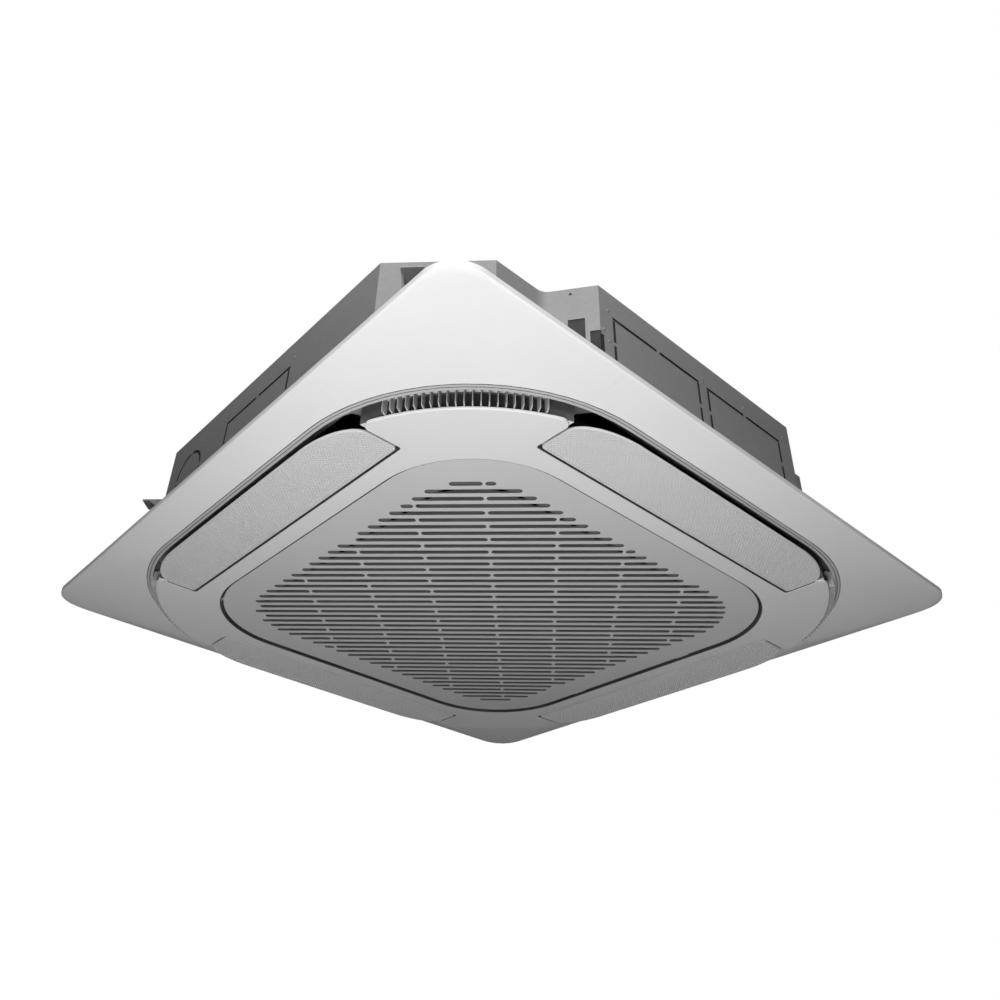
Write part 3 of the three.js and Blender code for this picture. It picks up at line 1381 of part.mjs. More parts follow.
/** The outline of one blade, swept back from its inner to its outer end. */
function bladeOutline() {
  const steps = 3;
  const upper = [];
  const lower = [];
  const sweep = THREE.MathUtils.degToRad(FAN.bladeSweep);
  const place = (share) => {
    const radius = THREE.MathUtils.lerp(FAN.bladeIn, FAN.radius - 2, share);
    const angle = -sweep * share ** 1.15;
    return new THREE.Vector2(radius * Math.cos(angle), radius * Math.sin(angle));
  };
  for (let i = 0; i <= steps; i += 1) {
    const share = i / steps;
    const at = place(share);
    const ahead = place(Math.min(share + 0.01, 1.01)).sub(at).normalize();
    const normal = new THREE.Vector2(-ahead.y, ahead.x);
    upper.push(at.clone().addScaledVector(normal, bladeHalf(share)));
    lower.push(at.clone().addScaledVector(normal, -bladeHalf(share)));
  }
  return [...upper, ...lower.reverse()];
}

/** The turbo fan: back plate with the hub dome, inlet shroud and the blades between them. */
function turboFan() {
  const skin = FAN.skin;
  const dome = (shift) => [
    [FAN.boss, FAN.hubBottom + shift],
    [FAN.hubRadius, FAN.hubBottom + shift],
    [FAN.hubRadius + 14, FAN.hubBottom + 8 + shift],
    [FAN.domeRadius - 14, FAN.back - 16 + shift],
    [FAN.domeRadius, FAN.back - 4 + shift],
    [FAN.domeRadius + 14, FAN.back + shift],
    [FAN.radius, FAN.back + shift],
  ];
  const bore = FAN_MOTOR.shaftRadius + RUN;
  const back = turned([...dome(0), ...dome(skin).reverse()], FAN.turns);
  const boss = turned([[bore, FAN.bossBottom], [FAN.boss + OVERLAP, FAN.bossBottom],
    [FAN.boss + OVERLAP, FAN.bossTop], [bore, FAN.bossTop]], 16);
  const mouth = quarterEllipse([FAN.radius, FAN.shroudTop], [FAN.inlet, FAN.shroudBottom], 4);
  const upper = quarterEllipse([FAN.radius, FAN.shroudTop + skin], [FAN.inlet + skin, FAN.shroudBottom], 4).reverse();
  const shroud = turned([...mouth, ...upper], FAN.turns);
  const bladeFoot = BELL.throatTop + BELL.lip + FAN.runningGap;
  const space = turned([
    [FAN.inlet + skin / 2, bladeFoot],
    ...quarterEllipse([FAN.radius, FAN.shroudTop + skin / 2], [FAN.inlet + skin / 2, FAN.shroudBottom], 4)
      .filter(([, height]) => height > bladeFoot).reverse(),
    [FAN.radius, FAN.back + skin / 2],
    [FAN.domeRadius + 14, FAN.back + skin / 2],
    [FAN.domeRadius, FAN.back - 4 + skin / 2],
    [FAN.domeRadius, bladeFoot],
  ], FAN.turns);
  const blade = prism(bladeOutline(), FAN.shroudBottom, FAN.back + skin).intersect(space);
  const blades = [];
  for (let i = 0; i < FAN.blades; i += 1) {
    blades.push(spun(blade, (i * Math.PI * 2) / FAN.blades));
  }
  return joined([back, boss, shroud, ...blades]);
}

function fanNut() {
  const top = FAN.bossBottom - SEAT;
  const nut = post(0, 0, top - FAN_MOTOR.nut, top, FAN_MOTOR.shaftRadius + 6, 6);
  const bore = post(0, 0, top - FAN_MOTOR.nut - OVERLAP, top + OVERLAP, FAN_MOTOR.shaftRadius + RUN, FAN.turns);
  return nut.subtract(bore);
}

function mountPlace(index) {
  const angle = Math.PI / 2 + (index * Math.PI * 2) / 3;
  return new THREE.Vector2(FAN_MOTOR.earReach * Math.cos(angle), FAN_MOTOR.earReach * Math.sin(angle));
}

function fanMotor() {
  const can = turned([
    [0, FAN_MOTOR.bottom],
    [FAN_MOTOR.noseRadius - 4, FAN_MOTOR.bottom],
    [FAN_MOTOR.noseRadius, FAN_MOTOR.bottom + 4],
    [FAN_MOTOR.noseRadius, FAN_MOTOR.step - 6],
    [FAN_MOTOR.radius, FAN_MOTOR.step],
    [FAN_MOTOR.radius, FAN_MOTOR.top - 8],
    [FAN_MOTOR.radius - 8, FAN_MOTOR.top],
    [0, FAN_MOTOR.top],
  ], 14);
  const shaftEnd = FAN.bossBottom - FAN_MOTOR.nut - 4;
  const parts = [can, post(0, 0, shaftEnd, FAN_MOTOR.bottom + OVERLAP, FAN_MOTOR.shaftRadius)];
  const earTop = FAN_MOTOR.top - 8;
  for (let i = 0; i < 3; i += 1) {
    const at = mountPlace(i);
    parts.push(post(at.x, at.y, earTop - FAN_MOTOR.earThickness, earTop, FAN_MOTOR.earRadius));
    const arm = box(FAN_MOTOR.radius - 6, -10, earTop - FAN_MOTOR.earThickness, FAN_MOTOR.earReach, 10, earTop);
    parts.push(spun(arm, at.angle()));
  }
  return joined(parts);
}

function motorMount(index) {
  const at = mountPlace(index);
  const bottom = FAN_MOTOR.top - 8 + SEAT;
  const top = CASE_ROOF - CASE.dishDepth - SEAT;
  const waist = (bottom + top) / 2;
  const radius = FAN_MOTOR.mountRadius;
  const profile = [[0, bottom], [radius, bottom], [radius - 2.5, waist], [radius, top], [0, top]];
  const place = new THREE.Matrix4().makeTranslation(at.x, at.y, 0);
  return moved(turned(profile, CIRCLE), place);
}

// ---------------------------------------------------------------- control box

function controlBox() {
  const half = BOX.length / 2;
  const y0 = BOX.centreY - BOX.width / 2;
  const y1 = y0 + BOX.width;
  const { wall, flange } = BOX;
  const shell = box(-half, y0, BOX.bottom, half, y1, BOX.top);
  const hollow = box(-half + wall, y0 + wall, BOX.bottom - OVERLAP, half - wall, y1 - wall, BOX.top - wall);
  const rim = box(-half - flange, y0 - flange, BELL.height - SEAT - wall, half + flange, y1 + flange,
    BELL.height - SEAT);
  const cable = rod(new THREE.Vector3(half - wall * 3, BOX.centreY, BOX.cableHeight),
    new THREE.Vector3(half + wall * 3, BOX.centreY, BOX.cableHeight), BOX.cableRadius);
  return without(shell.add(rim), [hollow, cable]);
}

function controlCover() {
  const half = BOX.length / 2 + 1;
  const y0 = BOX.centreY - BOX.width / 2 - 1;
  const y1 = BOX.centreY + BOX.width / 2 + 1;
  const top = BOX.bottom - SEAT;
  const lid = box(-half, y0, top - 1.2, half, y1, top);
  const ribs = [-60, 0, 60].map((x) => box(x - 20, BOX.centreY - 2, top - 2.2, x + 20, BOX.centreY + 2, top - 0.6));
  return joined([lid, ...ribs]);
}

function controlBoard() {
  const half = BOX.length / 2 - BOX.wall - 4;
  const top = BOX.top - BOX.wall - BOX.boardDrop;
  const y0 = BOX.centreY - BOX.width / 2 + BOX.wall + 3;
  const y1 = BOX.centreY + BOX.width / 2 - BOX.wall - 3;
  const parts = [box(-half, y0, top - BOX.board, half, y1, top)];
  for (const x of [-half + 8, half - 8]) {
    for (const y of [y0 + 5, y1 - 5]) {
      parts.push(post(x, y, top - OVERLAP, BOX.top - BOX.wall - SEAT, 3, 8));
    }
  }
  const under = top - BOX.board;
  parts.push(box(-70, y0 + 6, under - 14, -38, y1 - 8, under + OVERLAP / 2));
  parts.push(post(-10, BOX.centreY, under - 16, under + OVERLAP / 2, 9, 8));
  return joined(parts);
}

function terminalBlock() {
  const top = BOX.top - BOX.wall - BOX.boardDrop - BOX.board - SEAT;
  const y0 = BOX.centreY - 12;
  const y1 = BOX.centreY + 12;
  const base = box(52, y0, top - 10, 112, y1, top);
  const parts = [base];
  for (let i = 0; i < 6; i += 1) {
    const x = 53 + i * 11.4;
    parts.push(box(x, y0, top - 15, x + 1.6, y1, top - 9));
  }
  return joined(parts);
}

/** The rubber bush in the end wall of the control box. */
function cableBush() {
  const at = (dx) => new THREE.Vector3(BOX.length / 2 + dx, BOX.centreY, BOX.cableHeight);
  const outside = rod(at(SEAT), at(3), BOX.cableRadius + 1);
  const neck = rod(at(OVERLAP), at(-BOX.wall - SEAT), BOX.cableRadius - SEAT);
  const bore = rod(at(-8), at(8), BOX.cableRadius - 1.6);
  return outside.add(neck).subtract(bore);
}

// ---------------------------------------------------------------- assembly

const unit = new THREE.Group();

/** Adds one named piece to the unit. */
function add(name, solid, material) {
  const mesh = new THREE.Mesh(toGeometry(solid), material);
  mesh.name = name;
  unit.add(mesh);
}

add('panel_frame', panelFrame(), MATERIALS.panel);
add('panel_base', panelBase(), MATERIALS.panel);
for (const turn of CORNER_TURNS) {
  const number = turn + 1;
  add(`corner_cover_${number}`, cornerCover(turn), MATERIALS.panel);
  add(`corner_comb_${number}`, cornerComb(turn), MATERIALS.comb);
  add(`vane_${number}`, vane(turn), MATERIALS.vane);
  add(`vane_motor_${number}`, vaneMotor(turn), MATERIALS.plastic);
}
add('intake_grille', intakeGrille(), MATERIALS.grille);
add('pre_filter', preFilter(), MATERIALS.net);
add('grille_catch_1', grilleCatch(-1), MATERIALS.plastic);
add('grille_catch_2', grilleCatch(1), MATERIALS.plastic);

add('casing', casing(), MATERIALS.sheet);
add('casing_liner', casingLiner(), MATERIALS.foam);
add('hanger_bracket_1', hangerBracket(-1, -1, CORNERS.near), MATERIALS.sheet);
add('hanger_bracket_2', hangerBracket(1, -1, CORNERS.side), MATERIALS.sheet);
add('hanger_bracket_3', hangerBracket(1, 1, CORNERS.near), MATERIALS.sheet);
add('hanger_bracket_4', hangerBracket(-1, 1, CORNERS.side), MATERIALS.sheet);

add('drain_pan', drainPan(), MATERIALS.foam);
add('drain_plug', drainPlug(), MATERIALS.rubber);
add('coil', coil(), MATERIALS.aluminium);
add('return_bends', returnBends(), MATERIALS.copper);
add('coil_header', coilHeader(), MATERIALS.copper);
add('gas_pipe', gasPipe(), MATERIALS.copper);
add('liquid_pipe', liquidPipe(), MATERIALS.copper);
add('gas_flare_nut', flareNut(PIPES.gasX, PIPES.gasRadius), MATERIALS.brass);
add('liquid_flare_nut', flareNut(PIPES.liquidX, PIPES.liquidRadius), MATERIALS.brass);
add('pipe_plate', pipePlate(), MATERIALS.sheet);

add('drain_pump', drainPump(), MATERIALS.plastic);
add('drain_tube', drainTube(), MATERIALS.fan);
add('float_guide', floatGuide(), MATERIALS.plastic);
add('float', float(), MATERIALS.fan);

add('bell_mouth', bellMouth(), MATERIALS.fan);
add('turbo_fan', turboFan(), MATERIALS.fan);
add('fan_nut', fanNut(), MATERIALS.brass);
add('fan_motor', fanMotor(), MATERIALS.sheet);
for (let i = 0; i < 3; i += 1) {
  add(`motor_mount_${i + 1}`, motorMount(i), MATERIALS.rubber);
}

add('control_box', controlBox(), MATERIALS.sheet);
add('control_cover', controlCover(), MATERIALS.sheet);
add('control_board', controlBoard(), MATERIALS.board);
add('terminal_block', terminalBlock(), MATERIALS.plastic);
add('cable_bush', cableBush(), MATERIALS.rubber);

export default unit;
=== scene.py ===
"""Looks of a ceiling cassette air conditioner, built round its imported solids.

Lengths in the classes are millimetres, as on the drawings; meshes are made in metres, +Z up. The
origin is on the unit's vertical centre line, in the lowest plane of the decoration panel.
"""

import logging
import math
from dataclasses import dataclass
from enum import Enum
from typing import Iterable, Optional, Sequence

import bmesh
import bpy
from mathutils import Matrix, Vector


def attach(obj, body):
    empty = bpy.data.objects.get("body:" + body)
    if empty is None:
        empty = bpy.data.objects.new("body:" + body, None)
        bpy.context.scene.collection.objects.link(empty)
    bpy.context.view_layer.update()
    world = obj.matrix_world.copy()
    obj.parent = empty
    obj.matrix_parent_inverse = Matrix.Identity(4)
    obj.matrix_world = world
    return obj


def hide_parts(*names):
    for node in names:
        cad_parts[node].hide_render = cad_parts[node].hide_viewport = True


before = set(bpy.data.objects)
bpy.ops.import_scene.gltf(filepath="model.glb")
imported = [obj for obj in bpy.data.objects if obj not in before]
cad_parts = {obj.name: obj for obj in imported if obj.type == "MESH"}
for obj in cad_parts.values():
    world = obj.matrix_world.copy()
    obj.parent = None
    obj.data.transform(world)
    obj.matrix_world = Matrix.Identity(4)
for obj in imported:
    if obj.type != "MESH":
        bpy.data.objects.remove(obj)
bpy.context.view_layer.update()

LOG = logging.getLogger("cassette")
MM = 0.001
SEAT = 0.3
TURNS = (0, 1, 2, 3)
Loop = list[Vector]
Profile = tuple[tuple[float, float], ...]
Colour = tuple[float, float, float, float]


# ------------------------------------------------------------------ outlines


def arc(cx: float, cy: float, radius: float, start: float, end: float, sides: int) -> Loop:
    """Points of an arc from one angle to another, both ends included.

    Args:
        cx: Centre across.
        cy: Centre up.
        radius: The arc's radius.
        start: First angle, in radians.
        end: Last angle, in radians.
        sides: Steps between them.

    Returns:
        The points in order.
    """
    step = (end - start) / sides
    angles = [start + step * i for i in range(sides + 1)]
    return [Vector((cx + radius * math.cos(a), cy + radius * math.sin(a))) for a in angles]


def turn_point(point: Vector, turn: int) -> Vector:
    """The point turned by quarter turns about the centre line.

    Args:
        point: The point.
        turn: How many quarter turns.

    Returns:
        The turned point.
    """
    x, y = point.x, point.y
    for _ in range(turn % 4):
        x, y = -y, x
    return Vector((x, y, *point[2:]))


def four_fold(quarter: Loop) -> Loop:
    """The first quarter's points, copied round the other three quarters."""
    return [turn_point(point, turn) for turn in TURNS for point in quarter]


def bowed_corner(half: float, reach: float, bow: float) -> tuple[float, float, float]:
    """Corner arc of a bowed square.

    Args:
        half: Reach across a side.
        reach: Reach along the diagonal.
        bow: Radius of the bowed sides.

    Returns:
        The arc's centre on the diagonal, its radius and the angle where it meets a side.
    """
    top = (bow - reach) ** 2 - (bow - half) ** 2
    centre = top / (2 * (bow - half - math.sqrt(2) * (bow - reach)))
    return centre, reach - centre * math.sqrt(2), math.atan2(centre, centre - half + bow)


def bowed_square(half: float, reach: float, bow: float, side: int = 14, corner: int = 18) -> Loop:
    """A square with bowed sides and tangent corner arcs; side and corner are step counts.

    Args:
        half: Reach across a side.
        reach: Reach along the diagonal.
        bow: Radius of the bowed sides.
        side: Steps along a side.
        corner: Steps round a corner.

    Returns:
        The outline, anticlockwise.
    """
    centre, radius, tangent = bowed_corner(half, reach, bow)
    first = arc(half - bow, 0, bow, 0, tangent, side)[:-1]
    middle = arc(centre, centre, radius, tangent, math.pi / 2 - tangent, corner)
    last = arc(0, half - bow, bow, math.pi / 2 - tangent, math.pi / 2, side)[1:-1]
    return four_fold(first + middle + last)


def rounded_square(half: float, radius: float, sides: int = 20) -> Loop:
    """A square with round corners and straight sides."""
    centre = half - radius
    return four_fold(arc(centre, centre, radius, 0, math.pi / 2, sides))


def rounded_rectangle(
    x0: float, y0: float, x1: float, y1: float, radius: float, sides: int = 6
) -> Loop:
    """A rectangle with round corners, anticlockwise.

    Args:
        x0: Left edge.
        y0: Lower edge.
        x1: Right edge.
        y1: Upper edge.
        radius: The corners' radius.
        sides: Steps round a corner.

    Returns:
        The outline.
    """
    corners = (
        (x1 - radius, y1 - radius),
        (x0 + radius, y1 - radius),
        (x0 + radius, y0 + radius),
        (x1 - radius, y0 + radius),
    )
    points: Loop = []
    for i, (x, y) in enumerate(corners):
        points += arc(x, y, radius, i * math.pi / 2, (i + 1) * math.pi / 2, sides)
    return points


def inset(loop: Loop, distance: float) -> Loop:
    """A polygon whose every side is moved inwards by the same distance.

    Args:
        loop: The polygon, anticlockwise.
        distance: How far its sides move.

    Returns:
        The new polygon, with as many points.
    """
    result: Loop = []
    for i, point in enumerate(loop):
        before = (point - loop[i - 1]).normalized()
        after = (loop[(i + 1) % len(loop)] - point).normalized()
        normal_before = Vector((-before.y, before.x))
        normal_after = Vector((-after.y, after.x))
        bisector = (normal_before + normal_after).normalized()
        result.append(point + bisector * (distance / bisector.dot(normal_after)))
    return result


def raised(loop: Loop, z: float) -> Loop:
    """A flat outline at a height."""
    return [Vector((point.x, point.y, z)) for point in loop]


def rounded_stack(
    loop: Loop, bottom: float, top: float, radius: float, steps: int = 4
) -> list[Loop]:
    """Loops of a plate on an outline, with its lower edge rounded.

    Args:
        loop: The plate's outline.
        bottom: Height of its lower face.
        top: Height of its upper face.
        radius: Radius of the lower edge.
        steps: Facets across the rounding.

    Returns:
        The loops from the lower face to the upper face.
    """
    loops = []
    for i in range(steps + 1):
        angle = math.pi / 2 * i / steps
        outline = inset(loop, radius * (1 - math.sin(angle)))
        loops.append(raised(outline, bottom + radius * (1 - math.cos(angle))))
    return loops + [raised(loop, top)]


# ------------------------------------------------------------------ meshes


def mesh_object(
    points: Sequence[Vector], faces: Iterable[Sequence[int]], name: str = "work"
) -> bpy.types.Object:
    """A mesh object, in metres, from points in millimetres, with its faces turned outwards.

    Args:
        points: The vertices, in millimetres.
        faces: Their numbers, face by face.
        name: The object's name.

    Returns:
        The object.
    """
    mesh = bpy.data.meshes.new(name)
    mesh.from_pydata([tuple(point * MM) for point in points], [], [tuple(face) for face in faces])
    edit = bmesh.new()
    edit.from_mesh(mesh)
    bmesh.ops.recalc_face_normals(edit, faces=edit.faces)
    edit.to_mesh(mesh)
    edit.free()
    piece = bpy.data.objects.new(name, mesh)
    bpy.context.scene.collection.objects.link(piece)
    return piece


def loft(loops: Sequence[Loop], closed: bool = False) -> bpy.types.Object:
    """A solid skinned over loops of equal length: a ring where closed, otherwise capped.

    Args:
        loops: Loops of equal length, in order.
        closed: Whether the last loop joins the first.

    Returns:
        The solid.
    """
    count = len(loops[0])
    points = [point for loop in loops for point in loop]
    bands = len(loops) if closed else len(loops) - 1
    faces: list[Sequence[int]] = []
    for band in range(bands):
        low, high = band * count, (band + 1) % len(loops) * count
        for i in range(count):
            j = (i + 1) % count
            faces.append((low + i, low + j, high + j, high + i))
    if not closed:
        faces.append(tuple(reversed(range(count))))
        faces.append(tuple(range(bands * count, (bands + 1) * count)))
    return mesh_object(points, faces)


def paint(piece: bpy.types.Object, sides: int, bands: Iterable[int], slot: int) -> None:
    """Gives a material slot to whole bands of a fresh loft whose loops have so many sides.

    Args:
        piece: The loft.
        sides: How many sides its loops have.
        bands: Numbers of the bands.
        slot: The material slot.
    """
    for band in bands:
        for face in piece.data.polygons[band * sides : (band + 1) * sides]:
            face.material_index = slot


def prism(loop: Loop, bottom: float, top: float) -> bpy.types.Object:
    """An upright prism on an outline."""
    return loft([raised(loop, bottom), raised(loop, top)])


def box(low: Sequence[float], high: Sequence[float]) -> bpy.types.Object:
    """A block between two corners."""
    (x0, y0, z0), (x1, y1, z1) = low, high
    return prism([Vector((x0, y0)), Vector((x1, y0)), Vector((x1, y1)), Vector((x0, y1))], z0, z1)


def wall_between(outer: Loop, inner: Loop, bottom: float, top: float) -> bpy.types.Object:
    """An upright wall between two outlines with as many points as each other.

    Args:
        outer: Outer outline.
        inner: Inner outline.
        bottom: Height of the lower end.
        top: Height of the upper end.

    Returns:
        The wall.
    """
    return loft(
        [raised(outer, bottom), raised(outer, top), raised(inner, top), raised(inner, bottom)], closed=True
    )


def rod(start: Vector, end: Vector, radius: float, sides: int = 24) -> bpy.types.Object:
    """A round bar between two points.

    Args:
        start: Centre of one end.
        end: Centre of the other end.
        radius: The bar's radius.
        sides: How many sides it has.

    Returns:
        The bar.
    """
    direction = (end - start).normalized()
    turn = Vector((0, 0, 1)).rotation_difference(direction).to_matrix()
    ring = [turn @ Vector((p.x, p.y, 0)) for p in arc(0, 0, radius, 0, math.tau, sides)[:-1]]
    return loft([[start + p for p in ring], [end + p for p in ring]])


def lathe(profile: Sequence[tuple[float, float]], sides: int = 96) -> bpy.types.Object:
    """A ring turned about the centre line from a closed profile of (radius, height)."""
    loops = [raised(arc(0, 0, radius, 0, math.tau, sides)[:-1], height) for radius, height in profile]
    return loft(loops, closed=True)


def gathered(pieces: Sequence[bpy.types.Object]) -> bpy.types.Object:
    """The pieces as one object, without joining their surfaces.

    Args:
        pieces: The objects, which are used up.

    Returns:
        The new object.
    """
    edit = bmesh.new()
    for piece in pieces:
        edit.from_mesh(piece.data)
        bpy.data.objects.remove(piece)
    mesh = bpy.data.meshes.new("work")
    edit.to_mesh(mesh)
    edit.free()
    whole = bpy.data.objects.new("work", mesh)
    bpy.context.scene.collection.objects.link(whole)
    return whole


def copied(piece: bpy.types.Object) -> bpy.types.Object:
    """A copy of the piece with a mesh of its own.

    Args:
        piece: The object.

    Returns:
        The copy, in the scene.
    """
    copy = piece.copy()
    copy.data = piece.data.copy()
    bpy.context.scene.collection.objects.link(copy)
    return copy


class Cut(Enum):
    """How one solid changes another."""

    AWAY = "DIFFERENCE"
    WITHIN = "INTERSECT"
    TOGETHER = "UNION"


def cut(target: bpy.types.Object, tool: bpy.types.Object, how: Cut) -> bpy.types.Object:
    """The target, changed by the tool, which is used up.

    Args:
        target: The solid that stays.
        tool: The solid that cuts or joins.
        how: What the tool does.

    Returns:
        The target.
    """
    modifier = target.modifiers.new("cut", "BOOLEAN")
    modifier.object = tool
    modifier.operation = how.value
    modifier.solver = "MANIFOLD"
    modifier.material_mode = "TRANSFER"
    settle(target)
    bpy.data.objects.remove(tool)
    return target


def settle(piece: bpy.types.Object) -> None:
    """Writes the piece's modifiers into its mesh.

    Args:
        piece: The object.
    """
    graph = bpy.context.evaluated_depsgraph_get()
    graph.update()
    mesh = bpy.data.meshes.new_from_object(piece.evaluated_get(graph))
    piece.modifiers.clear()
    piece.data = mesh


def turned(piece: bpy.types.Object, turn: int) -> bpy.types.Object:
    """The piece turned by quarter turns about the centre line."""
    piece.data.transform(Matrix.Rotation(turn * math.pi / 2, 4, "Z"))
    return piece


def smooth(piece: bpy.types.Object, limit: float = 40.0) -> None:
    """Shades the piece smooth except across edges sharper than the limit, in degrees.

    Args:
        piece: The object.
        limit: Sharpest edge that is shaded smooth.
    """
    edit = bmesh.new()
    edit.from_mesh(piece.data)
    bmesh.ops.remove_doubles(edit, verts=edit.verts, dist=1e-6)
    for face in edit.faces:
        face.smooth = True
    for edge in edit.edges:
        edge.smooth = len(edge.link_faces) == 2 and edge.calc_face_angle(0.0) < math.radians(limit)
    edit.to_mesh(piece.data)
    edit.free()
    modifier = piece.modifiers.new("flats", "WEIGHTED_NORMAL")
    modifier.keep_sharp = True
    settle(piece)


def place(
    piece: bpy.types.Object,
    name: str,
    body: str,
    materials: Sequence[bpy.types.Material],
    nodes: Sequence[str] = (),
    limit: float = 40.0,
) -> bpy.types.Object:
    """Names, shades and dresses a finished piece, and puts it on its body.

    Args:
        piece: The mesh object.
        name: The piece's name.
        body: The body it rides on.
        materials: Its materials, in slot order.
        nodes: The CAD nodes that it stands for.
        limit: Sharpest edge, in degrees, that is shaded smooth.

    Returns:
        The piece.
    """
    smooth(piece, limit)
    piece.name = name
    piece.data.name = name
    if len(materials) == 1:
        piece.data.materials.clear()
    for i, material in enumerate(materials):
        if i < len(piece.data.materials):
            piece.data.materials[i] = material
        else:
            piece.data.materials.append(material)
    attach(piece, body)
    if nodes:
        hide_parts(*nodes)
    LOG.info("%s: %d faces on %s", name, len(piece.data.polygons), body)
    return piece


# ------------------------------------------------------------------ shader helpers


class Sketch:
    """Lays out the nodes of one tree."""

    def __init__(self, tree: bpy.types.NodeTree) -> None:
        """Keeps the tree that is drawn on."""
        self.tree = tree

    def add(self, kind: str, inputs: Optional[dict] = None, **settings: object) -> bpy.types.Node:
        """Adds a node.

        Args:
            kind: The node's type name.
            inputs: Values or sockets for its inputs, by name or index.
            settings: The node's own settings.

        Returns:
            The node.
        """
        node = self.tree.nodes.new(kind)
        for key, value in settings.items():
            setattr(node, key, value)
        for key, value in (inputs or {}).items():
            self.feed(node.inputs[key], value)
        return node

    def feed(self, entry: bpy.types.NodeSocket, value: object) -> None:
        """Gives an input its value, or links it to the socket that has it.

        Args:
            entry: The input.
            value: A value or a socket.
        """
        if isinstance(value, bpy.types.NodeSocket):
            self.tree.links.new(value, entry)
        else:
            entry.default_value = value

    def math(
        self, operation: str, first: object, second: object = 0.0, third: object = 0.0
    ) -> bpy.types.NodeSocket:
        """The result of a math node."""
        values = {0: first, 1: second, 2: third}
        return self.add("ShaderNodeMath", values, operation=operation).outputs[0]

    def mix(self, factor: object, first: object, second: object) -> bpy.types.NodeSocket:
        """A colour between two."""
        values = {0: factor, 6: first, 7: second}
        return self.add("ShaderNodeMix", values, data_type="RGBA").outputs[2]

    def noise(
        self, vector: bpy.types.NodeSocket, scale: object, detail: float = 3.0
    ) -> bpy.types.NodeSocket:
        """A noise value round 0.5."""
        values = {"Vector": vector, "Scale": scale, "Detail": detail}
        return self.add("ShaderNodeTexNoise", values).outputs[0]

    def remap(
        self, value: object, low: float, high: float, start: float = 0.0, end: float = 1.0
    ) -> bpy.types.NodeSocket:
        """The value's place between low and high, as a value between start and end."""
        return self.add("ShaderNodeMapRange", {0: value, 1: low, 2: high, 3: start, 4: end}).outputs[0]


def effect(
    name: str, inputs: dict[str, tuple[str, object]], outputs: dict[str, str]
) -> tuple[bpy.types.NodeTree, Sketch]:
    """A new shader node group with named sockets.

    Args:
        name: The group's name.
        inputs: Socket type and default by input name.
        outputs: Socket type by output name.

    Returns:
        The group and a sketch of it.
    """
    group = bpy.data.node_groups.new(name, "ShaderNodeTree")
    for label, (kind, default) in inputs.items():
        socket = group.interface.new_socket(label, in_out="INPUT", socket_type=kind)
        if default is not None:
            socket.default_value = default
    for label, kind in outputs.items():
        group.interface.new_socket(label, in_out="OUTPUT", socket_type=kind)
    return group, Sketch(group)


class Effects:
    """The effects that more than one finish uses, each a node group built once."""

    def __init__(self) -> None:
        """Builds the groups."""
        self.grain = self._grain()
        self.ageing = self._ageing()
        self.brushing = self._brushing()

    def _grain(self) -> bpy.types.NodeTree:
        """Fine spark-eroded mould grain: a height and a slight tone change.

        Returns:
            The node group.
        """
        group, sketch = effect(
            "mould_grain",
            {
                "Vector": ("NodeSocketVector", None),
                "Scale": ("NodeSocketFloat", 900.0),
                "Waviness": ("NodeSocketFloat", 0.3),
            },
            {"Height": "NodeSocketFloat", "Tone": "NodeSocketFloat"},
        )
        given = sketch.add("NodeGroupInput").outputs
        fine = sketch.noise(given["Vector"], given["Scale"], 4.0)
        broad = sketch.noise(given["Vector"], 9.0, 2.0)
        height = sketch.math("MULTIPLY_ADD", broad, given["Waviness"], fine)
        tone = sketch.math("MULTIPLY_ADD", fine, 0.35, sketch.math("MULTIPLY", broad, 0.65))
        sketch.add("NodeGroupOutput", {"Height": height, "Tone": tone})
        return group

    def _ageing(self) -> bpy.types.NodeTree:
        """Dust and handling: a colour, dulled in soft patches and fine specks.

        Returns:
            The node group.
        """
        group, sketch = effect(
            "ageing",
            {
                "Vector": ("NodeSocketVector", None),
                "Color": ("NodeSocketColor", None),
                "Dust": ("NodeSocketColor", None),
                "Amount": ("NodeSocketFloat", 0.1),
                "Roughness": ("NodeSocketFloat", 0.5),
            },
            {"Color": "NodeSocketColor", "Roughness": "NodeSocketFloat"},
        )
        given = sketch.add("NodeGroupInput").outputs
        patches = sketch.noise(given["Vector"], 14.0, 5.0)
        specks = sketch.noise(given["Vector"], 260.0, 2.0)
        spread = sketch.remap(patches, 0.42, 0.68)
        dotted = sketch.remap(specks, 0.62, 0.72, 0.0, 0.6)
        cover = sketch.math("MULTIPLY", sketch.math("MAXIMUM", spread, dotted), given["Amount"])
        colour = sketch.mix(cover, given["Color"], given["Dust"])
        roughness = sketch.math("MULTIPLY_ADD", cover, 0.5, given["Roughness"])
        sketch.add("NodeGroupOutput", {"Color": colour, "Roughness": roughness})
        return group

    def _brushing(self) -> bpy.types.NodeTree:
        """Drawing or rolling marks: noise stretched along one axis.

        Returns:
            The node group.
        """
        group, sketch = effect(
            "rolling_marks",
            {
                "Vector": ("NodeSocketVector", None),
                "Stretch": ("NodeSocketVector", (40.0, 900.0, 900.0)),
                "Roughness": ("NodeSocketFloat", 0.4),
                "Spread": ("NodeSocketFloat", 0.15),
            },
            {"Height": "NodeSocketFloat", "Roughness": "NodeSocketFloat"},
        )
        given = sketch.add("NodeGroupInput").outputs
        stretched = sketch.add(
            "ShaderNodeVectorMath", {0: given["Vector"], 1: given["Stretch"]}, operation="MULTIPLY"
        ).outputs[0]
        marks = sketch.noise(stretched, 1.0, 3.0)
        centred = sketch.math("SUBTRACT", marks, 0.5)
        roughness = sketch.math("MULTIPLY_ADD", centred, given["Spread"], given["Roughness"])
        sketch.add("NodeGroupOutput", {"Height": marks, "Roughness": roughness})
        return group


